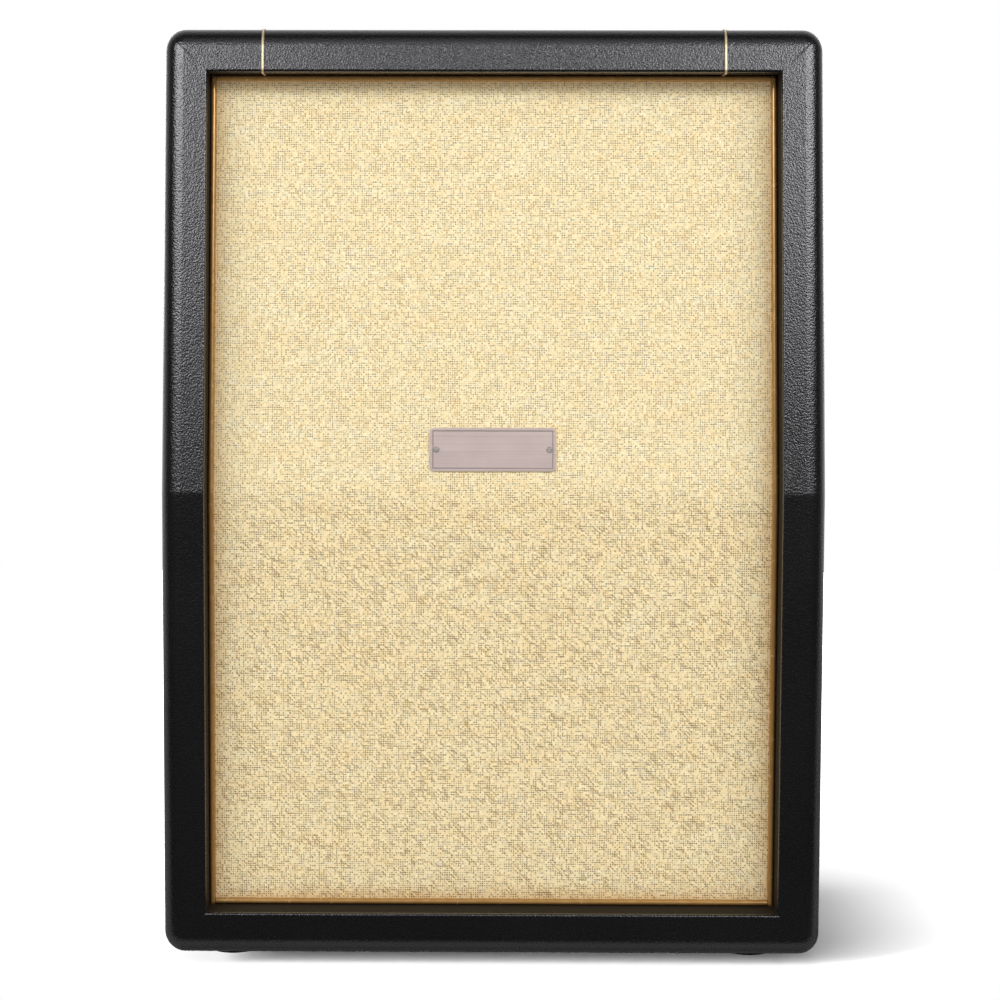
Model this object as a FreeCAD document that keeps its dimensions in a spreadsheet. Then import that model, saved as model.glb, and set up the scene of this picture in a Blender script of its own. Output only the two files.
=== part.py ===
import FreeCAD, Part
import math
import operator
import os
import Sketcher
from types import SimpleNamespace

# Upright two-driver guitar speaker cabinet with an angled front.
# X runs to the right as seen from the front, Y runs from front to back and Z runs up.
# The origin is on the floor, under the middle of the box. All lengths are in millimetres.

sizes = {
    # Box, over its covering
    "cab_width": 500.0,
    "cab_height": 702.0,
    "cab_depth": 300.0,
    "slant_angle": 8.0,
    "corner_radius": 16.0,
    "front_radius": 15.0,
    "rear_radius": 8.0,
    "bend_radius": 20.0,
    "cut_overrun": 5.0,
    # Panels and covering
    "panel_thickness": 15.0,
    "finger_pitch": 20.0,
    "covering_thickness": 1.0,
    "covering_gap": 0.2,
    "bead_width": 2.2,
    "bead_proud": 0.8,
    # Front frame, baffles and cloth
    "batten_thickness": 16.0,
    "inner_radius": 2.0,
    "recess_depth": 32.0,
    "cloth_thickness": 1.0,
    "baffle_thickness": 15.0,
    "baffle_gap": 1.5,
    "cleat_width": 30.0,
    "cleat_depth": 20.0,
    "cleat_end_gap": 6.0,
    "piping_radius": 2.3,
    "piping_gap": 0.1,
    # Blank plate on the cloth
    "plate_width": 96.0,
    "plate_height": 33.0,
    "plate_thickness": 1.6,
    "plate_corner": 3.0,
    "plate_rim_width": 2.0,
    "plate_rim_height": 0.5,
    "plate_rise": 33.5,
    "pin_spacing": 86.0,
    "pin_radius": 1.2,
    "pin_head_radius": 2.2,
    "pin_head_height": 1.2,
    "pin_length": 12.0,
    # Back panel
    "back_thickness": 15.0,
    "back_inset": 5.0,
    "back_gap": 1.0,
    "rear_cleat": 20.0,
    "back_screw_inset": 10.0,
    # Wood screws and cup washers
    "screw_radius": 2.0,
    "screw_clearance": 0.15,
    "screw_head_radius": 4.0,
    "screw_head_height": 2.2,
    "baffle_screw_length": 29.0,
    "back_screw_length": 32.0,
    "handle_screw_length": 14.0,
    "foot_screw_length": 18.0,
    "dish_screw_length": 13.0,
    "washer_radius": 7.0,
    "washer_height": 1.4,
    # Rubber feet
    "foot_height": 12.0,
    "foot_top_radius": 19.0,
    "foot_base_radius": 17.0,
    "foot_well_radius": 7.0,
    "foot_well_depth": 6.0,
    "foot_side_inset": 48.0,
    "foot_end_inset": 70.0,
    # Recessed side handles
    "handle_level": 392.0,
    "cup_height": 88.0,
    "cup_depth": 58.0,
    "cup_wall": 3.0,
    "cup_draft": 8.0,
    "cup_corner": 20.0,
    "cup_clearance": 1.0,
    "handle_flange": 17.0,
    "handle_corner": 14.0,
    "handle_flange_thickness": 3.0,
    "handle_screw_inset": 8.0,
    # Jack dish and socket
    "dish_level": 340.0,
    "dish_width": 84.0,
    "dish_height": 62.0,
    "dish_depth": 24.0,
    "dish_wall": 2.0,
    "dish_corner": 10.0,
    "dish_clearance": 0.6,
    "dish_flange": 12.0,
    "dish_flange_corner": 8.0,
    "dish_flange_thickness": 1.6,
    "dish_screw_inset": 6.0,
    "plug_radius": 3.25,
    "sleeve_radius": 4.7,
    "sleeve_length": 7.0,
    "sleeve_clearance": 0.15,
    "nut_across": 12.0,
    "nut_thickness": 2.5,
    "socket_width": 20.0,
    "socket_height": 16.0,
    "socket_length": 24.0,
    "chamber_width": 7.0,
    "chamber_length": 15.0,
    "leaf_width": 4.0,
    "leaf_thickness": 0.5,
    "leaf_dip": 4.6,
    # Twelve-inch drivers
    "chassis_clearance": 4.0,
    "seat_width": 16.0,
    "bolt_inset": 6.0,
    "bolt_radius": 2.5,
    "bolt_clearance": 0.4,
    "bolt_head_radius": 4.6,
    "bolt_head_height": 3.6,
    "tee_barrel_radius": 3.4,
    "tee_barrel_length": 11.0,
    "tee_flange_radius": 8.5,
    "tee_flange_thickness": 1.2,
    "pin_wood": 1.3,
    "chassis_sheet": 1.5,
    "chassis_depth": 92.0,
    "rim_width": 23.5,
    "shelf_radius": 66.0,
    "shelf_depth": 76.0,
    "hub_radius": 58.0,
    "hub_bore_radius": 30.0,
    "window_margin": 9.0,
    "window_inner_radius": 73.0,
    "spoke_width": 22.0,
    "gasket_thickness": 3.0,
    "gasket_width": 13.5,
    "gasket_inset": 0.5,
    "surround_width": 9.0,
    "cone_lip": 4.0,
    "cone_depth": 58.0,
    "cone_wall": 1.2,
    "cone_rib_height": 1.4,
    "neck_length": 3.0,
    "surround_thickness": 0.8,
    "surround_roll": 3.0,
    "surround_inset": 0.4,
    "glue_gap": 0.1,
    "cap_radius": 33.0,
    "cap_rise": 12.0,
    "cap_thickness": 0.8,
    "former_radius": 22.25,
    "former_thickness": 0.5,
    "former_top": 60.5,
    "winding_thickness": 0.8,
    "winding_length": 13.0,
    "spider_thickness": 0.6,
    "spider_pleat": 2.0,
    "air_gap": 0.5,
    "top_plate_radius": 61.0,
    "top_plate_thickness": 8.0,
    "magnet_radius": 78.0,
    "magnet_bore_radius": 36.0,
    "magnet_thickness": 20.0,
    "back_plate_radius": 71.0,
    "back_plate_thickness": 9.0,
    "back_plate_chamfer": 3.0,
    "strip_width": 26.0,
    "strip_length": 18.0,
    "strip_thickness": 2.0,
    "strip_gap": 0.3,
    "tag_width": 5.0,
    "tag_length": 9.0,
    "tag_thickness": 0.8,
}

# Places along a length, and counts
bend_share = 0.50285
bead_place_share = 0.35
cup_width_share = 0.5
handle_place_share = 0.07
back_side_screw_shares = (0.06, 0.35, 0.65, 0.94)
back_rail_screw_shares = (0.3, 0.7)
baffle_screw_shares = (0.15, 0.5, 0.85)
cone_rib_shares = (0.55, 0.6, 0.65)
strip_place_share = 0.45
window_count = 8
flange_hole_count = 8
bolt_angles = (45.0, 135.0, 225.0, 315.0)
surround_pleats = 2
spider_pleats = 3

doc = FreeCAD.newDocument("speaker_cabinet")
sheet = doc.addObject("Spreadsheet::Sheet", "dims")
for row, (alias, number) in enumerate(sizes.items(), 1):
    sheet.set("A%d" % row, alias)
    sheet.set("B%d" % row, str(number))
    sheet.setAlias("B%d" % row, alias)
doc.recompute()

Vector = FreeCAD.Vector
Placement = FreeCAD.Placement
Rotation = FreeCAD.Rotation
AXIS_X = Vector(1, 0, 0)
AXIS_Y = Vector(0, 1, 0)
AXIS_Z = Vector(0, 0, 1)
OPERATIONS = {"+": operator.add, "-": operator.sub, "*": operator.mul, "/": operator.truediv}


class Size:
    """A size worked out from the sheet: the expression that gives it, and its present value."""

    def __init__(self, text, value):
        self.text = text
        self.value = value

    def __add__(self, other):
        return joined(self, "+", other)

    def __radd__(self, other):
        return joined(other, "+", self)

    def __sub__(self, other):
        return joined(self, "-", other)

    def __rsub__(self, other):
        return joined(other, "-", self)

    def __mul__(self, other):
        return joined(self, "*", other)

    def __rmul__(self, other):
        return joined(other, "*", self)

    def __truediv__(self, other):
        return joined(self, "/", other)

    def __neg__(self):
        return joined(0, "-", self)


def as_size(number):
    """A plain number as a Size; a Size stays as it is."""
    if isinstance(number, Size):
        return number
    return Size("%r" % float(number), float(number))


def joined(left, sign, right):
    """Two sizes joined by one arithmetic sign."""
    left, right = as_size(left), as_size(right)
    value = OPERATIONS[sign](left.value, right.value)
    return Size("(%s %s %s)" % (left.text, sign, right.text), value)


def sine(angle):
    return Size("sin(%s)" % angle.text, math.sin(math.radians(angle.value)))


def cosine(angle):
    return Size("cos(%s)" % angle.text, math.cos(math.radians(angle.value)))


def tangent(angle):
    return Size("tan(%s)" % angle.text, math.tan(math.radians(angle.value)))


def root(area):
    return Size("sqrt(%s)" % area.text, math.sqrt(area.value))


def whole(amount):
    """The next whole number up."""
    return Size("ceil(%s)" % amount.text, math.ceil(amount.value))


size = SimpleNamespace(**{name: Size("dims.%s" % name, number) for name, number in sizes.items()})


# Sketches and features

def bind(thing, prop, amount):
    """Tie one property to the sheet."""
    thing.setExpression(prop, as_size(amount).text)


def new_body(name):
    return doc.addObject("PartDesign::Body", name)


def sketch(body, plane, name, level=0):
    """A sketch on one of the body's origin planes, moved along the global axis that crosses it."""
    drawing = body.newObject("Sketcher::SketchObject", name)
    support = [f for f in body.Origin.OriginFeatures if f.Role == plane][0]
    drawing.AttachmentSupport = [(support, "")]
    drawing.MapMode = "FlatFace"
    offset = -as_size(level) if plane == "XZ_Plane" else as_size(level)
    bind(drawing, "AttachmentOffset.Base.z", offset)
    return drawing


def fix(drawing, kind, geometry, point, amount):
    """Hold one coordinate of one point of a drawing at a size measured from its origin."""
    amount = as_size(amount)
    index = drawing.addConstraint(Sketcher.Constraint(kind, -1, 1, geometry, point, amount.value))
    drawing.setExpression("Constraints[%d]" % index, amount.text)


def add_polygon(drawing, points):
    """A closed outline of straight lines through points given as pairs of sizes."""
    points = [(as_size(x), as_size(y)) for x, y in points]
    first = drawing.GeometryCount
    count = len(points)
    corners = [Vector(x.value, y.value, 0) for x, y in points]
    for i in range(count):
        drawing.addGeometry(Part.LineSegment(corners[i], corners[(i + 1) % count]))
    for i in range(count):
        following = first + (i + 1) % count
        drawing.addConstraint(Sketcher.Constraint("Coincident", first + i, 2, following, 1))
    for i, (x, y) in enumerate(points):
        fix(drawing, "DistanceX", first + i, 1, x)
        fix(drawing, "DistanceY", first + i, 1, y)


def add_rectangle(drawing, x0, y0, x1, y1):
    add_polygon(drawing, [(x0, y0), (x1, y0), (x1, y1), (x0, y1)])


def add_circle(drawing, x, y, radius):
    x, y, radius = as_size(x), as_size(y), as_size(radius)
    ring = drawing.addGeometry(Part.Circle(Vector(x.value, y.value, 0), AXIS_Z, radius.value))
    index = drawing.addConstraint(Sketcher.Constraint("Radius", ring, radius.value))
    drawing.setExpression("Constraints[%d]" % index, radius.text)
    fix(drawing, "DistanceX", ring, 3, x)
    fix(drawing, "DistanceY", ring, 3, y)


def add_rounded_rectangle(drawing, x, y, width, height, radius):
    """A rectangle about a middle point, with four equal corner arcs that run into its sides."""
    x0, x1 = x - width / 2, x + width / 2
    y0, y1 = y - height / 2, y + height / 2
    r = radius.value
    a0, a1, b0, b1 = x0.value, x1.value, y0.value, y1.value
    first = drawing.GeometryCount
    lines = [((a0 + r, b0), (a1 - r, b0)), ((a1, b0 + r), (a1, b1 - r)),
             ((a1 - r, b1), (a0 + r, b1)), ((a0, b1 - r), (a0, b0 + r))]
    centres = [(a1 - r, b0 + r), (a1 - r, b1 - r), (a0 + r, b1 - r), (a0 + r, b0 + r)]
    for i in range(4):
        start, end = (Vector(*point, 0) for point in lines[i])
        drawing.addGeometry(Part.LineSegment(start, end))
        circle = Part.Circle(Vector(*centres[i], 0), AXIS_Z, r)
        turn = math.pi / 2 * (i - 1)
        drawing.addGeometry(Part.ArcOfCircle(circle, turn, turn + math.pi / 2))
    for i in range(4):
        side, corner, following = first + 2 * i, first + 2 * i + 1, first + (2 * i + 2) % 8
        drawing.addConstraint(Sketcher.Constraint("Tangent", side, 2, corner, 1))
        drawing.addConstraint(Sketcher.Constraint("Tangent", corner, 2, following, 1))
        drawing.addConstraint(Sketcher.Constraint("Vertical" if i % 2 else "Horizontal", side))
    for i in range(1, 4):
        drawing.addConstraint(Sketcher.Constraint("Equal", first + 1, first + 2 * i + 1))
    index = drawing.addConstraint(Sketcher.Constraint("Radius", first + 1, r))
    drawing.setExpression("Constraints[%d]" % index, radius.text)
    fix(drawing, "DistanceY", first, 1, y0)
    fix(drawing, "DistanceX", first + 2, 1, x1)
    fix(drawing, "DistanceY", first + 4, 1, y1)
    fix(drawing, "DistanceX", first + 6, 1, x0)


def add_pad(body, drawing, length, symmetric=False, reverse=False):
    """Material along the drawing's normal, or to both sides of it."""
    feature = body.newObject("PartDesign::Pad", drawing.Name + "_pad")
    feature.Profile = drawing
    feature.SideType = "Symmetric" if symmetric else "One side"
    feature.Reversed = reverse
    bind(feature, "Length", length)
    doc.recompute()
    return feature


def add_pocket(body, drawing, length=None, symmetric=False, reverse=False):
    """A cut against the drawing's normal or to both sides, right through where no length is given."""
    before = body.Shape.Volume
    feature = body.newObject("PartDesign::Pocket", drawing.Name + "_pocket")
    feature.Profile = drawing
    feature.Reversed = reverse
    if length is None:
        feature.Type = "ThroughAll"
    else:
        bind(feature, "Length", length)
    feature.SideType = "Symmetric" if symmetric or length is None else "One side"
    doc.recompute()
    if not body.Shape.Volume < before:
        raise ValueError("%s cuts nothing" % feature.Name)
    return feature


def add_revolution(body, drawing):
    """A full turn of a half section about the drawing's upright axis."""
    feature = body.newObject("PartDesign::Revolution", drawing.Name + "_turn")
    feature.Profile = drawing
    feature.ReferenceAxis = (drawing, ["V_Axis"])
    feature.Angle = 360.0
    doc.recompute()
    return feature


def add_fillet(body, edges, radius):
    """Round the named edges of the body's last feature."""
    base = body.Tip
    feature = body.newObject("PartDesign::Fillet", base.Name + "_round")
    feature.Base = (base, edges)
    bind(feature, "Radius", radius)
    doc.recompute()
    return feature


def add_pattern(body, kind, feature, axis, count, **lengths):
    """Repeat one feature along or about an axis of its drawing."""
    pattern = body.newObject("PartDesign::" + kind, feature.Name + "_row")
    pattern.Originals = [feature]
    if kind == "LinearPattern":
        pattern.Direction = (feature.Profile[0], [axis])
        pattern.Reversed = True
    else:
        pattern.Axis = (feature.Profile[0], [axis])
    for prop, amount in lengths.items():
        bind(pattern, prop, amount)
    bind(pattern, "Occurrences", count)
    body.Tip = pattern
    doc.recompute()
    return pattern


def edges_where(shape, test):
    """Names of the edges whose middle point and direction pass a test."""
    names = []
    for i, edge in enumerate(shape.Edges, 1):
        middle = (edge.FirstParameter + edge.LastParameter) / 2
        if test(edge.valueAt(middle), edge.tangentAt(middle)):
            names.append("Edge%d" % i)
    return names


def rim_of(shape, towards):
    """Names of the edges round the faces that look one way, the edges inside that group left out."""
    seen = {}
    for face in shape.Faces:
        u0, u1, v0, v1 = face.ParameterRange
        if face.normalAt((u0 + u1) / 2, (v0 + v1) / 2).dot(towards) > 0.9:
            for edge in face.Edges:
                seen[edge.hashCode()] = seen.get(edge.hashCode(), 0) + 1
    return ["Edge%d" % i for i, edge in enumerate(shape.Edges, 1) if seen.get(edge.hashCode()) == 1]


def boolean(kind, name, base, tool):
    result = doc.addObject("Part::" + kind, name)
    result.Base = base
    result.Tool = tool
    doc.recompute()
    return result


nodes = {}


def node(thing, name):
    """Keep an object as one named piece of the cabinet."""
    thing.Label = name
    nodes[name] = thing
    return thing


def grouped(name, things):
    """Several pieces of one kind as one node of separate solids."""
    group = doc.addObject("Part::Compound", name)
    group.Links = things
    doc.recompute()
    return node(group, name)


def copies(name, pattern, placements):
    """Identical small pieces as one node, each a copy of the pattern body set in its place."""
    solids = []
    for place in placements:
        solid = pattern.Shape.copy()
        solid.Placement = place.multiply(solid.Placement)
        solids.append(solid)
    group = doc.addObject("Part::Feature", name)
    group.Shape = Part.makeCompound(solids)
    return node(group, name)


# Planes of the box: each is given by its depth behind the outer face of the covering

half_width = size.cab_width / 2
front = -size.cab_depth / 2
rear = size.cab_depth / 2
base = size.foot_height
crown = size.foot_height + size.cab_height
bend_level = size.foot_height + size.cab_height * bend_share
slant = size.slant_angle
covering = size.covering_thickness
panel = size.panel_thickness
wood_half = half_width - covering
panel_inner = wood_half - panel
batten_inner = panel_inner - size.batten_thickness
opening_half = batten_inner - covering
wood_base = base + covering
wood_crown = crown - covering
panel_base = wood_base + panel
panel_crown = wood_crown - panel
batten_base = panel_base + size.batten_thickness
batten_crown = panel_crown - size.batten_thickness
back_face = rear - size.back_inset
back_outer = back_face - covering
back_inner = back_outer - size.back_thickness
rear_wrap = rear - back_inner
pipe_r = size.piping_radius
pipe_edge = pipe_r + size.piping_gap
baffle_front = size.recess_depth + size.cloth_thickness
baffle_back = baffle_front + size.baffle_thickness


def bend_at(depth):
    """Level of the bend in the plane that lies a depth behind the front face."""
    return bend_level - depth * tangent(slant / 2)


def slope_at(depth, level):
    """Y of the leaning plane that lies a depth behind the front face, at a level over the bend."""
    return front + depth / cosine(slant) + (level - bend_level) * tangent(slant)


def front_band(depth0, depth1, level0, level1):
    """Section of a sheet that follows the front, from one depth to another, bent where the front is."""
    return [(front + depth0, level0), (front + depth1, level0), (front + depth1, bend_at(depth1)),
            (slope_at(depth1, level1), level1), (slope_at(depth0, level1), level1),
            (front + depth0, bend_at(depth0))]


def envelope(name, depth):
    """The rounded block of the whole box, a depth inside the covering's outer face."""
    body = new_body(name)
    low, high = base + depth, crown - depth
    outline = sketch(body, "YZ_Plane", name + "_outline")
    add_polygon(outline, [(front + depth, low), (rear - depth, low), (rear - depth, high),
                          (slope_at(depth, high), high), (front + depth, bend_at(depth))])
    add_pad(body, outline, (half_width - depth) * 2, symmetric=True)
    bend, side = bend_at(depth).value, (half_width - depth).value
    ridge = edges_where(body.Shape, lambda p, t: abs(p.z - bend) < 1e-6 and abs(t.x) > 0.9)
    add_fillet(body, ridge, size.bend_radius - depth)
    long_edges = edges_where(body.Shape, lambda p, t: abs(abs(p.x) - side) < 1e-6 and abs(t.y) > 0.9)
    add_fillet(body, long_edges, size.corner_radius - depth)
    add_fillet(body, rim_of(body.Shape, -AXIS_Y), size.front_radius - depth)
    add_fillet(body, rim_of(body.Shape, AXIS_Y), size.rear_radius - depth)
    return body


# Side, top and bottom panels: plywood, rounded as one block and finger-jointed at the corners

wood_block = envelope("wood_block", covering)
finger_step = size.finger_pitch * 2
finger_count = whole((size.cab_depth - covering * 2) / finger_step)
first_finger = rear - covering
handle_y = size.cab_depth * handle_place_share
handle_z = base + size.handle_level
cup_width = size.cab_depth * cup_width_share
cup_hole_width = cup_width + size.cup_clearance * 2
cup_hole_height = size.cup_height + size.cup_clearance * 2
screw_hole = size.screw_radius + size.screw_clearance
handle_screw_y = cup_width / 2 + size.handle_flange - size.handle_screw_inset
handle_screw_z = size.cup_height / 2 + size.handle_flange - size.handle_screw_inset
handle_screw_places = [(handle_y + handle_screw_y * u, handle_z + handle_screw_z * v)
                       for u in (-1, 1) for v in (-1, 1)]


def side_panel(name, inner_face):
    blank = new_body(name + "_blank")
    outline = sketch(blank, "YZ_Plane", name + "_outline", inner_face)
    add_polygon(outline, [(front + covering, wood_base), (rear - covering, wood_base),
                          (rear - covering, wood_crown), (slope_at(covering, wood_crown), wood_crown),
                          (front + covering, bend_at(covering))])
    add_rounded_rectangle(outline, handle_y, handle_z, cup_hole_width, cup_hole_height,
                          size.cup_corner + size.cup_clearance)
    for y, z in handle_screw_places:
        add_circle(outline, y, z, screw_hole)
    add_pad(blank, outline, panel)
    slots = sketch(blank, "YZ_Plane", name + "_slots", inner_face)
    for low, high in ((wood_base - size.cut_overrun, panel_base),
                      (panel_crown, wood_crown + size.cut_overrun)):
        add_rectangle(slots, first_finger - finger_step, low, first_finger - size.finger_pitch, high)
    cut = add_pocket(blank, slots)
    add_pattern(blank, "LinearPattern", cut, "H_Axis", finger_count,
                Length=finger_step * (finger_count - 1))
    return node(boolean("Common", name, blank, wood_block), name)


foot_x = half_width - size.foot_side_inset
foot_y = rear - size.foot_end_inset
foot_places = [(foot_x * u, foot_y * v) for u in (-1, 1) for v in (-1, 1)]


def cross_panel(name, low, high, front_low, front_high, holes):
    blank = new_body(name + "_blank")
    outline = sketch(blank, "YZ_Plane", name + "_outline")
    add_polygon(outline, [(front_low, low), (rear - covering, low),
                          (rear - covering, high), (front_high, high)])
    add_pad(blank, outline, wood_half * 2, symmetric=True)
    if holes:
        drilled = sketch(blank, "XY_Plane", name + "_holes")
        for x, y in holes:
            add_circle(drilled, x, y, screw_hole)
        add_pocket(blank, drilled)
    slots = sketch(blank, "XY_Plane", name + "_slots")
    for x0, x1 in ((-wood_half - size.cut_overrun, -panel_inner),
                   (panel_inner, wood_half + size.cut_overrun)):
        add_rectangle(slots, x0, first_finger - size.finger_pitch, x1, first_finger)
    cut = add_pocket(blank, slots)
    add_pattern(blank, "LinearPattern", cut, "V_Axis", finger_count + 1, Length=finger_step * finger_count)
    return node(boolean("Common", name, blank, wood_block), name)


side_panel("left_side_panel", -wood_half)
side_panel("right_side_panel", panel_inner)
cross_panel("bottom_panel", wood_base, panel_base, front + covering, front + covering, foot_places)
cross_panel("top_panel", panel_crown, wood_crown, slope_at(covering, panel_crown),
            slope_at(covering, wood_crown), [])


# The timber as one block, hollowed at the front recess and at the rear opening

def mouth(depth):
    """Half width, base and crown of the front recess in a block whose faces lie at a depth."""
    return opening_half + depth, batten_base + covering - depth, batten_crown - covering + depth


def round_lip(body, depth):
    """Round the edge between the front of a block at a depth and the walls of its recess."""
    half, low, high = (amount.value for amount in mouth(depth))
    near = covering.value / 2

    def on_lip(point, direction):
        plane = max((front + depth).value, slope_at(depth, as_size(point.z)).value)
        inside = abs(point.x) < half + near and low - near < point.z < high + near
        return inside and point.y < plane + near and abs(direction.y) < 0.5

    add_fillet(body, edges_where(body.Shape, on_lip), size.inner_radius - depth)


wood_core = envelope("wood_core", covering)
recess = sketch(wood_core, "YZ_Plane", "core_recess")
add_polygon(recess, front_band(-size.cut_overrun, size.recess_depth, batten_base, batten_crown))
add_pocket(wood_core, recess, batten_inner * 2, symmetric=True)
round_lip(wood_core, covering)
rear_hole = sketch(wood_core, "XZ_Plane", "core_rear", rear - rear_wrap)
add_rectangle(rear_hole, -panel_inner, panel_base, panel_inner, panel_crown)
add_pocket(wood_core, rear_hole, rear_wrap)


# Front battens: they line the frame between the front face and the back of the baffles

def batten(name, points, half_length=None, inner_face=0):
    blank = new_body(name + "_blank")
    section = sketch(blank, "YZ_Plane", name + "_section", inner_face)
    add_polygon(section, points)
    if half_length:
        add_pad(blank, section, half_length * 2, symmetric=True)
    else:
        add_pad(blank, section, size.batten_thickness)
    return node(boolean("Common", name, blank, wood_core), name)


upright = front_band(covering, baffle_back, panel_base, panel_crown)
batten("front_batten_left", upright, inner_face=-panel_inner)
batten("front_batten_right", upright, inner_face=batten_inner)
batten("front_batten_bottom", [(front + covering, panel_base), (front + baffle_back, panel_base),
                               (front + baffle_back, batten_base), (front + covering, batten_base)],
       half_length=batten_inner)
batten("front_batten_top", [(slope_at(covering, batten_crown), batten_crown),
                            (slope_at(baffle_back, batten_crown), batten_crown),
                            (slope_at(baffle_back, panel_crown), panel_crown),
                            (slope_at(covering, panel_crown), panel_crown)],
       half_length=batten_inner)


# Covering and gold beads: a skin round the block, turned into the front recess and the rear opening

def skin(name, depth):
    """The block at a depth, less the core: a sheet on every outer face and turned into both openings."""
    block = envelope(name + "_block", depth)
    half, low, high = mouth(depth)
    front_mouth = sketch(block, "XZ_Plane", name + "_mouth")
    add_rectangle(front_mouth, -half, low, half, high)
    add_pocket(block, front_mouth)
    round_lip(block, depth)
    rear_half = panel_inner - covering + depth
    rear_mouth = sketch(block, "XZ_Plane", name + "_rear_mouth", rear - rear_wrap)
    add_rectangle(rear_mouth, -rear_half, panel_base + covering - depth, rear_half,
                  panel_crown - covering + depth)
    add_pocket(block, rear_mouth, rear_wrap + size.cut_overrun)
    cups = sketch(block, "YZ_Plane", name + "_cups")
    add_rounded_rectangle(cups, handle_y, handle_z, cup_hole_width, cup_hole_height,
                          size.cup_corner + size.cup_clearance)
    for y, z in handle_screw_places:
        add_circle(cups, y, z, screw_hole)
    add_pocket(block, cups)
    under = sketch(block, "XY_Plane", name + "_foot_holes")
    for x, y in foot_places:
        add_circle(under, x, y, screw_hole)
    add_pocket(block, under, panel_base * 2, symmetric=True)
    return boolean("Cut", name, block, wood_core)


bead_x = size.cab_width * bead_place_share
bead_side = bead_x - size.bead_width / 2
slit_inner = bead_side - size.covering_gap
slit_outer = bead_x + size.bead_width / 2 + size.covering_gap
reach = size.cab_width + size.cab_height


def region(name, rectangles):
    """A block through the whole depth of the cabinet over some rectangles of its front view."""
    body = new_body(name)
    drawing = sketch(body, "XZ_Plane", name + "_view")
    for x0, z0, x1, z1 in rectangles:
        add_rectangle(drawing, x0, z0, x1, z1)
    add_pad(body, drawing, size.cab_depth * 2, symmetric=True)
    return body


covering_skin = skin("covering_skin", as_size(0))
middle = region("top_middle", [(-slit_inner, bend_level, slit_inner, reach)])
node(boolean("Common", "covering_top", covering_skin, middle), "covering_top")
cleared = region("top_cleared", [(-slit_outer, bend_level, slit_outer, reach)])
node(boolean("Cut", "covering_body", covering_skin, cleared), "covering_body")

bead_skin = skin("bead_skin", -size.bead_proud)
piping_room = new_body("piping_room")
section = sketch(piping_room, "YZ_Plane", "piping_room_section")
add_polygon(section, front_band(size.recess_depth - pipe_edge * 2, size.recess_depth + size.cut_overrun,
                                batten_base, batten_crown))
add_pad(piping_room, section, batten_inner * 2, symmetric=True)
strips = []
for name, side in (("bead_left_strip", -1), ("bead_right_strip", 1)):
    middle_line = bead_x * side
    strip = region(name, [(middle_line - size.bead_width / 2, bend_level,
                           middle_line + size.bead_width / 2, reach)])
    whole_strip = boolean("Common", name + "_whole", bead_skin, strip)
    strips.append(boolean("Cut", name + "_cut", whole_strip, piping_room))
grouped("top_beads", strips)


# Baffle frames: each has its origin on the back of its board at the driver's axis,
# x across, y up along the board and z forward

class Frame:
    """Where a driver sits: its origin in the cabinet and its lean about X."""

    def __init__(self, y, z, angle):
        self.y = y
        self.z = z
        self.angle = angle

    def seat(self, body):
        """Tie a body's placement to this frame."""
        body.Placement = Placement(Vector(), Rotation(AXIS_X, self.angle.value))
        bind(body, "Placement.Base.y", self.y)
        bind(body, "Placement.Base.z", self.z)
        bind(body, "Placement.Rotation.Angle", self.angle)
        doc.recompute()

    def placement(self):
        return Placement(Vector(0, self.y.value, self.z.value), Rotation(AXIS_X, self.angle.value))

    def local(self, y, z):
        """Coordinates in this frame of a point of the cabinet's side view."""
        along, across = y - self.y, z - self.z
        return (along * cosine(self.angle) + across * sine(self.angle),
                across * cosine(self.angle) - along * sine(self.angle))


board_base = batten_base + size.baffle_gap
board_crown = batten_crown - size.baffle_gap
board_half = batten_inner - size.baffle_gap
chassis_r = (bend_at(baffle_back) - board_base) / 2 - size.chassis_clearance
cutout_r = chassis_r - size.seat_width
bolt_ring = chassis_r - size.bolt_inset
pin_x = size.pin_spacing / 2
pin_hole = size.pin_radius + size.screw_clearance
pin_line = cutout_r + pin_hole + size.pin_wood
plate_tilt = (size.cloth_thickness + size.baffle_thickness) * tangent(slant / 2)
upper_place = size.plate_rise - plate_tilt + root(pin_line * pin_line - pin_x * pin_x)
frames = {
    "lower": Frame(front + baffle_back, (board_base + bend_at(baffle_back)) / 2, as_size(90)),
    "upper": Frame(front + baffle_back + upper_place * sine(slant),
                   bend_at(baffle_back) + upper_place * cosine(slant), 90 - slant),
}
board_corners = {
    "lower": [(front + baffle_back, board_base), (front + baffle_back, bend_at(baffle_back)),
              (front + baffle_front, bend_at(baffle_front)), (front + baffle_front, board_base)],
    "upper": [(front + baffle_back, bend_at(baffle_back)),
              (slope_at(baffle_back, board_crown), board_crown),
              (slope_at(baffle_front, board_crown), board_crown),
              (front + baffle_front, bend_at(baffle_front))],
}
cleat_inner = panel_inner - size.cleat_width
baffle_screw_x = (cleat_inner + board_half) / 2
tee_hole = size.tee_barrel_radius + size.bolt_clearance
plate_y = size.plate_rise - plate_tilt - upper_place
plate_back = size.baffle_thickness + size.cloth_thickness


def ring_places(radius, angles):
    """Points round a circle."""
    return [(radius * math.cos(math.radians(a)), radius * math.sin(math.radians(a))) for a in angles]


def board_span(frame, corners):
    """Lowest and highest place of a board's back face in its own frame."""
    return frame.local(*corners[0])[0], frame.local(*corners[1])[0]


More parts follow.
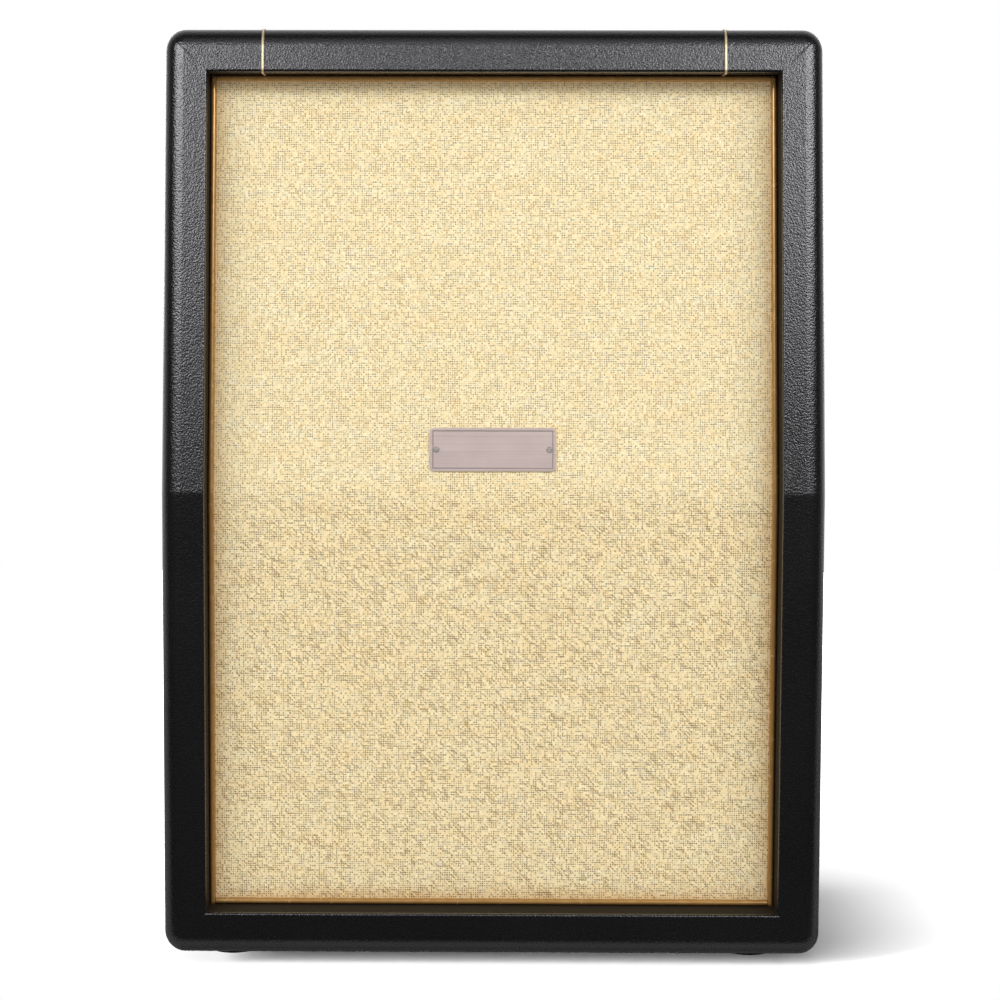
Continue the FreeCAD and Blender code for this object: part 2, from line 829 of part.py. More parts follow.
cleats = []
screw_places = []
for which, frame in frames.items():
    # The board, bored for its driver, its cleat screws and, on the upper one, the plate's pins
    corners = board_corners[which]
    low, high = board_span(frame, corners)
    screw_levels = [low + (high - low) * share for share in baffle_screw_shares]
    name = which + "_baffle"
    board = new_body(name)
    section = sketch(board, "YZ_Plane", name + "_section")
    add_polygon(section, [frame.local(*corner) for corner in corners])
    add_pad(board, section, board_half * 2, symmetric=True)
    bored = sketch(board, "XY_Plane", name + "_bores")
    add_circle(bored, 0, 0, cutout_r)
    for x, y in ring_places(bolt_ring, bolt_angles):
        add_circle(bored, x, y, tee_hole)
    for x in (-baffle_screw_x, baffle_screw_x):
        for y in screw_levels:
            add_circle(bored, x, y, screw_hole)
    if which == "upper":
        for x in (-pin_x, pin_x):
            add_circle(bored, x, plate_y, pin_hole)
    add_pocket(board, bored)
    sunk = sketch(board, "XY_Plane", name + "_tee_seats", size.baffle_thickness)
    for x, y in ring_places(bolt_ring, bolt_angles):
        add_circle(sunk, x, y, size.tee_flange_radius + size.bolt_clearance)
    add_pocket(board, sunk, size.tee_flange_thickness)
    frame.seat(board)
    node(board, name)
    # Its two cleats, on the inside of the side panels
    for side, x0 in (("left", -panel_inner), ("right", cleat_inner)):
        cleat = new_body("%s_cleat_%s" % (which, side))
        outline = sketch(cleat, "XY_Plane", "%s_cleat_%s_outline" % (which, side), -size.cleat_depth)
        add_rectangle(outline, x0, low + size.cleat_end_gap, x0 + size.cleat_width, high - size.cleat_end_gap)
        for y in screw_levels:
            add_circle(outline, -baffle_screw_x if side == "left" else baffle_screw_x, y, screw_hole)
        add_pad(cleat, outline, size.cleat_depth)
        frame.seat(cleat)
        cleats.append(cleat)
    for x in (-baffle_screw_x, baffle_screw_x):
        screw_places += [(frame, x, y) for y in screw_levels]
grouped("baffle_cleats", cleats)


# Fasteners: each stands on its pattern's origin with its head above and its shank below

def turned(name, points):
    """A solid of revolution about Z from a half section."""
    body = new_body(name)
    section = sketch(body, "XZ_Plane", name + "_section")
    add_polygon(section, points)
    add_revolution(body, section)
    return body


def fastener(name, radius, length, head_radius, head_height):
    crown_radius = head_radius - head_height / 2
    return turned(name, [(0, -length), (radius, -length), (radius, 0), (head_radius, 0),
                         (head_radius, head_height / 2), (crown_radius, head_height), (0, head_height)])


def screw(name, length):
    return fastener(name, size.screw_radius, length, size.screw_head_radius, size.screw_head_height)


def at(x, y, z, axis=AXIS_Z, turn=0):
    """A placement at a point given by sizes, turned about an axis."""
    return Placement(Vector(as_size(x).value, as_size(y).value, as_size(z).value), Rotation(axis, turn))


copies("baffle_screws", screw("baffle_screw", size.baffle_screw_length),
       [frame.placement().multiply(at(x, y, -size.cleat_depth, AXIS_X, 180)) for frame, x, y in screw_places])


# Grille cloth, stretched over both boards

cloth = new_body("grille_cloth")
section = sketch(cloth, "YZ_Plane", "cloth_section")
add_polygon(section, front_band(size.recess_depth, baffle_front, board_base, board_crown))
add_pad(cloth, section, board_half * 2, symmetric=True)
pierced = sketch(cloth, "XZ_Plane", "cloth_pin_holes")
pin_level = bend_at(size.recess_depth) + size.plate_rise * cosine(slant)
for x in (-pin_x, pin_x):
    add_circle(pierced, x, pin_level, pin_hole + size.screw_clearance * 2)
add_pocket(cloth, pierced)
node(cloth, "grille_cloth")


# Gold piping in the angle between the cloth and the frame

pipe_depth = size.recess_depth - pipe_edge
pipe_low = batten_base + covering
pipe_high = batten_crown - covering
pipe_x = opening_half - pipe_edge
piping = []
for side, x in (("left", -pipe_x), ("right", pipe_x)):
    strip = new_body("piping_" + side)
    spine = sketch(strip, "YZ_Plane", "piping_spine_" + side, x)
    route = [(front + pipe_depth, pipe_low), (front + pipe_depth, bend_at(pipe_depth)),
             (slope_at(pipe_depth, pipe_high - pipe_edge), pipe_high - pipe_edge)]
    spots = [Vector(y.value, z.value, 0) for y, z in route]
    for i in range(2):
        spine.addGeometry(Part.LineSegment(spots[i], spots[i + 1]))
        fix(spine, "DistanceX", i, 1, route[i][0])
        fix(spine, "DistanceY", i, 1, route[i][1])
    spine.addConstraint(Sketcher.Constraint("Coincident", 0, 2, 1, 1))
    fix(spine, "DistanceX", 1, 2, route[2][0])
    fix(spine, "DistanceY", 1, 2, route[2][1])
    ring = sketch(strip, "XY_Plane", "piping_ring_" + side, pipe_low)
    add_circle(ring, x, front + pipe_depth, pipe_r)
    doc.recompute()
    sweep = strip.newObject("PartDesign::AdditivePipe", "piping_sweep_" + side)
    sweep.Profile = ring
    sweep.Spine = (spine, ["Edge1", "Edge2"])
    sweep.Transition = "Right corner"
    doc.recompute()
    piping.append(strip)
for rail, y, z in (("bottom", front + pipe_depth, pipe_low + pipe_edge),
                   ("top", slope_at(pipe_depth, pipe_high - pipe_edge), pipe_high - pipe_edge)):
    strip = new_body("piping_" + rail)
    ring = sketch(strip, "YZ_Plane", "piping_ring_" + rail)
    add_circle(ring, y, z, pipe_r)
    add_pad(strip, ring, (pipe_x - pipe_edge) * 2, symmetric=True)
    piping.append(strip)
grouped("cloth_piping", piping)


# Blank plate with a plain raised rim, on the lower edge of the upper cloth, held by two pins

upper = frames["upper"]
plate = new_body("front_plate")
outline = sketch(plate, "XY_Plane", "plate_outline", plate_back)
add_rounded_rectangle(outline, as_size(0), plate_y, size.plate_width, size.plate_height, size.plate_corner)
for x in (-pin_x, pin_x):
    add_circle(outline, x, plate_y, pin_hole)
add_pad(plate, outline, size.plate_thickness)
rim = sketch(plate, "XY_Plane", "plate_rim", plate_back + size.plate_thickness)
for inset in (as_size(0), size.plate_rim_width):
    add_rounded_rectangle(rim, as_size(0), plate_y, size.plate_width - inset * 2,
                          size.plate_height - inset * 2, size.plate_corner - inset)
add_pad(plate, rim, size.plate_rim_height)
upper.seat(plate)
node(plate, "front_plate")
pin = fastener("plate_pin", size.pin_radius, size.pin_length, size.pin_head_radius, size.pin_head_height)
copies("plate_pins", pin, [upper.placement().multiply(at(x, plate_y, plate_back + size.plate_thickness))
                           for x in (-pin_x, pin_x)])


# Back panel: set into the rear opening against four cleats

back_half = panel_inner - covering - size.back_gap
back_low = panel_base + covering + size.back_gap
back_high = panel_crown - covering - size.back_gap
back_tall = back_high - back_low
side_screw_x = back_half - size.back_screw_inset
rail_screw_low = back_low + size.back_screw_inset
rail_screw_high = back_high - size.back_screw_inset
side_screws = [back_low + back_tall * share for share in back_side_screw_shares]
rail_screws = [back_half * 2 * share - back_half for share in back_rail_screw_shares]
back_screw_places = [(x, z) for x in (-side_screw_x, side_screw_x) for z in side_screws]
back_screw_places += [(x, z) for z in (rail_screw_low, rail_screw_high) for x in rail_screws]
dish_z = base + size.dish_level
dish_screw_x = size.dish_width / 2 + size.dish_flange - size.dish_screw_inset
dish_screw_z = size.dish_height / 2 + size.dish_flange - size.dish_screw_inset
dish_screw_places = [(dish_screw_x * u, dish_z + dish_screw_z * v) for u in (-1, 1) for v in (-1, 1)]


def back_sheet(name, outer_face, thickness):
    body = new_body(name)
    outline = sketch(body, "XZ_Plane", name + "_outline", outer_face)
    add_rectangle(outline, -back_half, back_low, back_half, back_high)
    add_rounded_rectangle(outline, as_size(0), dish_z, size.dish_width + size.dish_clearance * 2,
                          size.dish_height + size.dish_clearance * 2, size.dish_corner + size.dish_clearance)
    for x, z in back_screw_places + dish_screw_places:
        add_circle(outline, x, z, screw_hole)
    add_pad(body, outline, thickness)
    return node(body, name)


back_sheet("back_panel", back_outer, size.back_thickness)
back_sheet("back_covering", back_face, covering)


def rear_cleat(name, x0, z0, x1, z1, holes):
    body = new_body(name)
    outline = sketch(body, "XZ_Plane", name + "_outline", back_inner)
    add_rectangle(outline, x0, z0, x1, z1)
    for x, z in holes:
        add_circle(outline, x, z, screw_hole)
    add_pad(body, outline, size.rear_cleat)
    return body


rail_half = panel_inner - size.rear_cleat
grouped("rear_cleats", [
    rear_cleat("rear_cleat_left", -panel_inner, panel_base, -rail_half, panel_crown,
               [(-side_screw_x, z) for z in side_screws]),
    rear_cleat("rear_cleat_right", rail_half, panel_base, panel_inner, panel_crown,
               [(side_screw_x, z) for z in side_screws]),
    rear_cleat("rear_cleat_bottom", -rail_half, panel_base, rail_half, panel_base + size.rear_cleat,
               [(x, rail_screw_low) for x in rail_screws]),
    rear_cleat("rear_cleat_top", -rail_half, panel_crown - size.rear_cleat, rail_half, panel_crown,
               [(x, rail_screw_high) for x in rail_screws]),
])
washer = turned("cup_washer", [(screw_hole, 0), (size.washer_radius, 0),
                               (size.screw_head_radius, size.washer_height),
                               (screw_hole, size.washer_height)])
copies("back_cup_washers", washer, [at(x, back_face, z, AXIS_X, -90) for x, z in back_screw_places])
copies("back_screws", screw("back_screw", size.back_screw_length),
       [at(x, back_face + size.washer_height, z, AXIS_X, -90) for x, z in back_screw_places])


# Rubber feet, each with a well for its screw

foot = turned("rubber_foot", [
    (screw_hole, size.foot_well_depth), (size.foot_well_radius, size.foot_well_depth),
    (size.foot_well_radius, 0), (size.foot_base_radius, 0),
    (size.foot_top_radius, size.foot_height), (screw_hole, size.foot_height)])
copies("feet", foot, [at(x, y, 0) for x, y in foot_places])
copies("foot_screws", screw("foot_screw", size.foot_screw_length),
       [at(x, y, size.foot_well_depth, AXIS_X, 180) for x, y in foot_places])


# Recessed side handles: a drafted cup with a flange on the outside of the box

def side_handle(name, side):
    body = new_body(name)
    face = half_width * side
    outer = face + size.handle_flange_thickness * side
    floor = face - size.cup_depth * side
    inner_floor = floor + size.cup_wall * side
    wall2 = size.cup_wall * 2
    draft2 = size.cup_draft * 2
    flange2 = size.handle_flange * 2
    plan = sketch(body, "YZ_Plane", name + "_flange", face)
    add_rounded_rectangle(plan, handle_y, handle_z, cup_width + flange2,
                          size.cup_height + flange2, size.handle_corner)
    add_pad(body, plan, size.handle_flange_thickness, reverse=side < 0)
    rim = edges_where(body.Shape, lambda p, t: abs(p.x - outer.value) < 1e-6)
    add_fillet(body, rim, size.handle_flange_thickness / 2)

    def ring(label, level, shrink):
        drawing = sketch(body, "YZ_Plane", name + label, level)
        add_rounded_rectangle(drawing, handle_y, handle_z, cup_width - shrink,
                              size.cup_height - shrink, size.cup_corner - shrink / 4)
        return drawing

    for kind, near, far in (("AdditiveLoft", ring("_shell_mouth", face, as_size(0)),
                             ring("_shell_floor", floor, draft2)),
                            ("SubtractiveLoft", ring("_cup_mouth", outer, wall2),
                             ring("_cup_floor", inner_floor, wall2 + draft2))):
        loft = body.newObject("PartDesign::" + kind, name + "_" + kind)
        loft.Profile = near
        loft.Sections = [far]
        loft.Ruled = True
        doc.recompute()
    drilled = sketch(body, "YZ_Plane", name + "_screw_holes")
    for y, z in handle_screw_places:
        add_circle(drilled, y, z, screw_hole)
    add_pocket(body, drilled)
    return node(body, name)


side_handle("handle_left", -1)
side_handle("handle_right", 1)
handle_face = half_width + size.handle_flange_thickness
copies("handle_screws", screw("handle_screw", size.handle_screw_length),
       [at(handle_face * side, y, z, AXIS_Y, 90 * side) for side in (-1, 1) for y, z in handle_screw_places])


# Jack dish in the back panel, with one quarter-inch socket in its floor

dish = new_body("jack_dish")
dish_face = back_face + size.dish_flange_thickness
plan = sketch(dish, "XZ_Plane", "dish_flange", dish_face)
add_rounded_rectangle(plan, as_size(0), dish_z, size.dish_width + size.dish_flange * 2,
                      size.dish_height + size.dish_flange * 2, size.dish_flange_corner)
for x, z in dish_screw_places:
    add_circle(plan, x, z, screw_hole)
add_pad(dish, plan, size.dish_flange_thickness)
shell = sketch(dish, "XZ_Plane", "dish_shell", back_face)
add_rounded_rectangle(shell, as_size(0), dish_z, size.dish_width, size.dish_height, size.dish_corner)
add_pad(dish, shell, size.dish_depth)
hollow = sketch(dish, "XZ_Plane", "dish_hollow", dish_face)
add_rounded_rectangle(hollow, as_size(0), dish_z, size.dish_width - size.dish_wall * 2,
                      size.dish_height - size.dish_wall * 2, size.dish_corner - size.dish_wall)
add_pocket(dish, hollow, size.dish_flange_thickness + size.dish_depth - size.dish_wall, reverse=True)
sleeve_hole = sketch(dish, "XZ_Plane", "dish_sleeve_hole")
add_circle(sleeve_hole, 0, dish_z, size.sleeve_radius + size.sleeve_clearance)
add_pocket(dish, sleeve_hole)
node(dish, "jack_dish")
copies("jack_dish_screws", screw("dish_screw", size.dish_screw_length),
       [at(x, dish_face, z, AXIS_X, -90) for x, z in dish_screw_places])

dish_floor = back_face - size.dish_depth
sleeve_end = dish_floor + size.dish_wall + size.sleeve_length
socket_top = dish_z + size.socket_height / 2
socket_rear = dish_floor - size.socket_length
chamber_end = socket_rear + size.chamber_length
socket = new_body("jack_socket")
case = sketch(socket, "XZ_Plane", "socket_case", dish_floor)
add_rectangle(case, -size.socket_width / 2, dish_z - size.socket_height / 2,
              size.socket_width / 2, socket_top)
add_pad(socket, case, size.socket_length)
sleeve = sketch(socket, "XZ_Plane", "socket_sleeve", sleeve_end)
add_circle(sleeve, 0, dish_z, size.sleeve_radius)
add_pad(socket, sleeve, size.dish_wall + size.sleeve_length)
bore = sketch(socket, "XZ_Plane", "socket_bore")
add_circle(bore, 0, dish_z, size.plug_radius)
add_pocket(socket, bore)
chamber = sketch(socket, "YZ_Plane", "socket_chamber")
add_rectangle(chamber, socket_rear - size.cut_overrun, dish_z - size.chamber_width / 2,
              chamber_end, socket_top + size.cut_overrun)
add_pocket(socket, chamber, size.chamber_width, symmetric=True)
node(socket, "jack_socket")

nut = new_body("jack_nut")
flats = sketch(nut, "XZ_Plane", "nut_flats", dish_floor + size.dish_wall + size.nut_thickness)
add_polygon(flats, [(x, dish_z + z) for x, z in
                    ring_places(size.nut_across / math.sqrt(3), range(0, 360, 60))])
add_circle(flats, 0, dish_z, size.sleeve_radius + size.sleeve_clearance)
add_pad(nut, flats, size.nut_thickness)
node(nut, "jack_nut")

leaf = new_body("jack_tip_contact")
profile = sketch(leaf, "YZ_Plane", "leaf_profile")
leaf_low = socket_top - size.leaf_dip
leaf_root = chamber_end - size.screw_clearance * 2
leaf_tip = socket_rear + size.leaf_thickness * 2
leaf_bend = (leaf_root + leaf_tip) / 2
rise = size.leaf_thickness
add_polygon(profile, [(leaf_root, socket_top - rise * 2), (leaf_bend, leaf_low - rise * 2),
                      (leaf_tip, socket_top - rise * 2), (leaf_tip, socket_top - rise),
                      (leaf_bend, leaf_low - rise), (leaf_root, socket_top - rise)])
add_pad(leaf, profile, size.leaf_width, symmetric=True)
node(leaf, "jack_tip_contact")


# Drivers: each is turned about its own axis, with the baffle's back at z = 0 and the magnet behind

throat_r = chassis_r - size.rim_width
gasket_inner_r = chassis_r - size.gasket_width
cone_rim_r = throat_r - size.surround_width
window_outer_r = throat_r - size.window_margin
gasket = size.gasket_thickness
sheet_t = size.chassis_sheet
cone_slope_r = cone_rim_r - size.cone_lip
former_outer = size.former_radius + size.former_thickness
neck_r = former_outer + size.glue_gap
cone_run = cone_slope_r - neck_r
seat_z = -size.chassis_depth
gap_middle = seat_z - size.top_plate_thickness / 2
winding_end = gap_middle - size.winding_length / 2
winding_r = former_outer + size.winding_thickness
magnet_front = seat_z - size.top_plate_thickness
magnet_back = magnet_front - size.magnet_thickness
plate_rear = magnet_back - size.back_plate_thickness
pole_r = size.former_radius - size.air_gap
gap_r = winding_r + size.air_gap


def cone_front(radius):
    """Level of the cone's front face at a radius."""
    return -gasket - size.cone_depth * (cone_slope_r - radius) / cone_run


def basket_body(name):
    """A pressed funnel with a bolted flange, a shelf for the spider and windows between its spokes."""
    shelf = -size.shelf_depth
    body = turned(name, [
        (chassis_r, -gasket), (throat_r, -gasket),
        (size.shelf_radius, shelf), (size.hub_radius, shelf),
        (size.hub_radius, seat_z + sheet_t), (size.hub_bore_radius, seat_z + sheet_t),
        (size.hub_bore_radius, seat_z), (size.hub_radius + sheet_t, seat_z),
        (size.hub_radius + sheet_t, shelf - sheet_t), (size.shelf_radius + sheet_t / 2, shelf - sheet_t),
        (throat_r + sheet_t / 2, -gasket - sheet_t), (chassis_r, -gasket - sheet_t)])
    pane = sketch(body, "XY_Plane", name + "_window")
    turn = math.pi / window_count
    points = []
    for radius, side in ((size.window_inner_radius, -1), (window_outer_r, -1),
                         (window_outer_r, 1), (size.window_inner_radius, 1)):
        edge = (radius * math.tan(turn) - size.spoke_width / 2 / math.cos(turn)) * side
        points.append((radius * math.cos(turn) - edge * math.sin(turn),
                       radius * math.sin(turn) + edge * math.cos(turn)))
    add_polygon(pane, points)
    cut = add_pocket(body, pane)
    add_pattern(body, "PolarPattern", cut, "N_Axis", window_count, Angle=360)
    return body


def pleated(name, points_front, thickness):
    """A thin turned sheet: a line of points in front and the same line a thickness behind it."""
    behind = [(r, z - thickness) for r, z in reversed(points_front)]
    return turned(name, points_front + behind)


def bored_ring(body, name, radius, angles, hole):
    drawing = sketch(body, "XY_Plane", name)
    for x, y in ring_places(radius, angles):
        add_circle(drawing, x, y, hole)
    add_pocket(body, drawing)


def driver(which, frame):
    made = {}
    holes = [360.0 / flange_hole_count * (i + 1) for i in range(flange_hole_count)]
    bolt_hole = size.bolt_radius + size.bolt_clearance

    made["basket"] = basket_body(which + "_basket")
    bored_ring(made["basket"], which + "_flange_holes", bolt_ring, holes, bolt_hole)

    gasket_outer = chassis_r - size.gasket_inset
    made["gasket"] = turned(which + "_gasket", [(gasket_inner_r, -gasket), (gasket_outer, -gasket),
                                                (gasket_outer, 0), (gasket_inner_r, 0)])
    bored_ring(made["gasket"], which + "_gasket_holes", bolt_ring, holes, bolt_hole)

    # Surround: pleats between the cone's lip and the flange
    lift = size.surround_thickness - gasket
    inner, outer = cone_rim_r, throat_r
    step = (outer - inner) / (surround_pleats * 2)
    line = [(gasket_inner_r - size.surround_inset, lift)]
    line += [(outer - step * i, lift + size.surround_roll * (i % 2)) for i in range(surround_pleats * 2 + 1)]
    line += [(cone_slope_r + size.surround_inset, lift)]
    made["surround"] = pleated(which + "_surround", line, size.surround_thickness)

    # Cone: a flat lip, a straight flank with one stiffening rib, and a short neck on the coil
    ribs = [cone_slope_r - cone_run * share for share in cone_rib_shares]
    flank = [(cone_slope_r, -gasket)]
    flank += [(r, cone_front(r) + (size.cone_rib_height if i == 1 else 0)) for i, r in enumerate(ribs)]
    flank += [(neck_r, cone_front(neck_r))]
    back_line = [(r, z - size.cone_wall) for r, z in reversed(flank[:-1])]
    made["cone"] = turned(which + "_cone", [(cone_rim_r, -gasket)] + flank
                          + [(neck_r, cone_front(neck_r) - size.neck_length)] + back_line
                          + [(cone_rim_r, -gasket - size.cone_wall)])

    # Dust cap: a dome over the coil
    made["dust_cap"] = dust_cap(which + "_dust_cap")

    made["voice_coil"] = turned(which + "_voice_coil", [
        (size.former_radius, -size.former_top), (former_outer, -size.former_top),
        (former_outer, winding_end + size.winding_length), (winding_r, winding_end + size.winding_length),
        (winding_r, winding_end), (size.former_radius, winding_end)])

    # Spider: pleats between the coil and the chassis shelf
    shelf_line = size.spider_thickness - size.shelf_depth
    inner, outer = neck_r, size.hub_radius
    step = (outer - inner) / (spider_pleats * 2 + 1)
    line = [(size.shelf_radius - size.surround_inset, shelf_line)]
    line += [(outer - step * i, shelf_line + size.spider_pleat * (i % 2))
             for i in range(spider_pleats * 2 + 1)]
    line += [(inner, shelf_line)]
    made["spider"] = pleated(which + "_spider", line, size.spider_thickness)

    made["top_plate"] = turned(which + "_top_plate", [
        (gap_r, seat_z), (size.top_plate_radius, seat_z),
        (size.top_plate_radius, magnet_front), (gap_r, magnet_front)])
    made["magnet"] = turned(which + "_magnet", [
        (size.magnet_bore_radius, magnet_front), (size.magnet_radius, magnet_front),
        (size.magnet_radius, magnet_back), (size.magnet_bore_radius, magnet_back)])
    chamfer = size.back_plate_chamfer
    made["back_plate"] = turned(which + "_back_plate", [
        (0, seat_z), (pole_r, seat_z), (pole_r, magnet_back), (size.back_plate_radius, magnet_back),
        (size.back_plate_radius, plate_rear + chamfer),
        (size.back_plate_radius - chamfer, plate_rear), (0, plate_rear)])
    made["terminal_strip"] = terminal_strip(which + "_terminal_strip")
    for piece, body in made.items():
        frame.seat(body)
        node(body, "%s_%s" % (which, piece))


def dust_cap(name):
    """A shallow spherical shell that stands on the cone's front."""
    body = new_body(name)
    section = sketch(body, "XZ_Plane", name + "_section")
    edge_z = cone_front(size.cap_radius) + size.glue_gap
    ball = (size.cap_radius * size.cap_radius + size.cap_rise * size.cap_rise) / (size.cap_rise * 2)
    centre = edge_z + size.cap_rise - ball
    radii = (ball, ball - size.cap_thickness)
    for radius in radii:
        circle = Part.Circle(Vector(0, centre.value, 0), AXIS_Z, radius.value)
        start = math.asin((edge_z - centre).value / radius.value)
        section.addGeometry(Part.ArcOfCircle(circle, start, math.pi / 2))
    ends = [section.Geometry[i].StartPoint for i in range(2)]
    tops = [section.Geometry[i].EndPoint for i in range(2)]
    section.addGeometry(Part.LineSegment(ends[0], ends[1]))
    section.addGeometry(Part.LineSegment(tops[0], tops[1]))
    for i, radius in enumerate(radii):
        index = section.addConstraint(Sketcher.Constraint("Radius", i, radius.value))
        section.setExpression("Constraints[%d]" % index, radius.text)
        section.addConstraint(Sketcher.Constraint("PointOnObject", i, 3, -2))
        fix(section, "DistanceY", i, 3, centre)
        section.addConstraint(Sketcher.Constraint("PointOnObject", i, 2, -2))
        section.addConstraint(Sketcher.Constraint("Coincident", i, 1, 2, i + 1))
        section.addConstraint(Sketcher.Constraint("Coincident", i, 2, 3, i + 1))
    section.addConstraint(Sketcher.Constraint("Horizontal", 2))
    fix(section, "DistanceY", 2, 1, edge_z)
    add_revolution(body, section)
    return body


def terminal_strip(name):
    """A small board with two tags, flat against the outside of one spoke."""
    body = new_body(name)
    top = (throat_r + sheet_t / 2, -gasket - sheet_t)
    foot_point = (size.shelf_radius + sheet_t / 2, -size.shelf_depth - sheet_t)
    run_r, run_z = top[0] - foot_point[0], top[1] - foot_point[1]
    flank = root(run_r * run_r + run_z * run_z)
    along = (run_r / flank, run_z / flank)
    away = (run_z / flank, -run_r / flank)
    start = flank * strip_place_share

    def spot(distance, height):
        return (foot_point[0] + along[0] * distance + away[0] * height,
                foot_point[1] + along[1] * distance + away[1] * height)

    low, high = size.strip_gap, size.strip_gap + size.strip_thickness
    board = sketch(body, "XZ_Plane", name + "_board")
    add_polygon(board, [spot(start, low), spot(start + size.strip_length, low),
                        spot(start + size.strip_length, high), spot(start, high)])
    add_pad(body, board, size.strip_width, symmetric=True)
    tags = sketch(body, "XZ_Plane", name + "_tags")
    tag_place = start + size.strip_length / 2
    add_polygon(tags, [spot(tag_place, high), spot(tag_place + size.tag_thickness, high),
                       spot(tag_place + size.tag_thickness, high + size.tag_length),
                       spot(tag_place, high + size.tag_length)])
    add_pad(body, tags, size.tag_width * 4, symmetric=True)
    between = sketch(body, "XZ_Plane", name + "_between")
    add_polygon(between, [spot(tag_place - size.tag_thickness, high),
                          spot(tag_place + size.tag_thickness * 2, high),
                          spot(tag_place + size.tag_thickness * 2, high + size.tag_length * 2),
                          spot(tag_place - size.tag_thickness, high + size.tag_length * 2)])
    add_pocket(body, between, size.tag_width * 2, symmetric=True)
    return body


for which, frame in frames.items():
    driver(which, frame)

bolt_seat = -gasket - sheet_t
bolt_reach = -bolt_seat + size.tee_barrel_length
bolt = fastener("driver_bolt", size.bolt_radius, bolt_reach, size.bolt_head_radius, size.bolt_head_height)
tee_bore = size.bolt_radius + size.screw_clearance
tee_nut = turned("tee_nut", [
    (tee_bore, -size.tee_barrel_length), (size.tee_barrel_radius, -size.tee_barrel_length),
    (size.tee_barrel_radius, -size.tee_flange_thickness),
    (size.tee_flange_radius, -size.tee_flange_thickness),
    (size.tee_flange_radius, 0), (tee_bore, 0)])
bolt_points = [(frame, x, y) for frame in frames.values() for x, y in ring_places(bolt_ring, bolt_angles)]
copies("driver_bolts", bolt,
       [frame.placement().multiply(at(x, y, bolt_seat, AXIS_X, 180)) for frame, x, y in bolt_points])
copies("driver_tee_nuts", tee_nut,
       [frame.placement().multiply(at(x, y, size.baffle_thickness)) for frame, x, y in bolt_points])


# Every feature has to be up to date and every piece a valid solid before anything is written

doc.recompute()
for thing in doc.Objects:
    if "Invalid" in thing.State or "Error" in thing.State:
        raise ValueError("%s failed to build" % thing.Name)
for name, thing in nodes.items():
    shape = thing.Shape
    if shape.isNull() or not shape.isValid() or not shape.Solids:
        raise ValueError("%s is not a valid solid" % name)
os.makedirs("parts", exist_ok=True)
for name, thing in nodes.items():
    thing.Shape.exportStep("parts/%s.step" % name)
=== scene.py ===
import math

import bpy
import numpy as np
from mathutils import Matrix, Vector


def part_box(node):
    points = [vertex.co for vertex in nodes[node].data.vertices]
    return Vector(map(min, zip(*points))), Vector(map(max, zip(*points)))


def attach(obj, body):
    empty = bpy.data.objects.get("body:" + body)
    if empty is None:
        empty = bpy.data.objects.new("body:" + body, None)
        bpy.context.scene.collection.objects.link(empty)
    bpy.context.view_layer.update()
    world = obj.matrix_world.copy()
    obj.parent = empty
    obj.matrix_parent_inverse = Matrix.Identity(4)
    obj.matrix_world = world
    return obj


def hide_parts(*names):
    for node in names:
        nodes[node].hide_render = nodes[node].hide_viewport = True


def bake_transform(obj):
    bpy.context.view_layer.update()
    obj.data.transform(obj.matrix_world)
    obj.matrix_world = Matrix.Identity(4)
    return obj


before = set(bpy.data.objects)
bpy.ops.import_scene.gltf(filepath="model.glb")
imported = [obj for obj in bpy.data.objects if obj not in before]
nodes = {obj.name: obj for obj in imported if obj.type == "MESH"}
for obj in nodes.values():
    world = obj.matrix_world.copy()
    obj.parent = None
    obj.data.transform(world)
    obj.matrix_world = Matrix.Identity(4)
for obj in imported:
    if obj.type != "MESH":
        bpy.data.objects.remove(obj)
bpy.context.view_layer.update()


# Plywood shell, battens, cleats and baffles
# Birch plywood panels with finger-jointed corners, battens, cleats and two baffle boards, all
# glued and screwed. The covering and the cloth hide most of it, so bare wood shows only inside.

class Value:
    """A shader value: a node socket that takes part in Python sums."""

    def __init__(self, paint, socket):
        self.paint = paint
        self.socket = socket

    def output(self, key):
        """Another output of the same node."""
        return Value(self.paint, self.socket.node.outputs[key])

    def maths(self, operation, *given, clamp=False):
        """One Math node on values and numbers, in the order given."""
        settings = {"operation": operation, "use_clamp": clamp}
        return self.paint.add("Math", settings, dict(enumerate(given)))

    def __add__(self, other):
        return self.maths("ADD", self, other)

    def __sub__(self, other):
        return self.maths("SUBTRACT", self, other)

    def __rsub__(self, other):
        return self.maths("SUBTRACT", other, self)

    def __mul__(self, other):
        return self.maths("MULTIPLY", self, other)

    def __truediv__(self, other):
        return self.maths("DIVIDE", self, other)

    __radd__ = __add__
    __rmul__ = __mul__

    def power(self, exponent):
        return self.maths("POWER", self, exponent)

    def wave(self):
        """The sine of this value."""
        return self.maths("SINE", self)

    def absolute(self):
        return self.maths("ABSOLUTE", self)

    def whole(self):
        """The whole number at or below this value."""
        return self.maths("FLOOR", self)

    def rest(self):
        """What is left over the whole number below."""
        return self.maths("FRACT", self)

    def at_least(self, other):
        return self.maths("MAXIMUM", self, other)

    def at_most(self, other):
        return self.maths("MINIMUM", self, other)

    def over(self, edge, width):
        """Rises from 0 to 1 as this value passes an edge, over a width."""
        past = self - (edge - width / 2)
        return past.maths("DIVIDE", past, width, clamp=True)


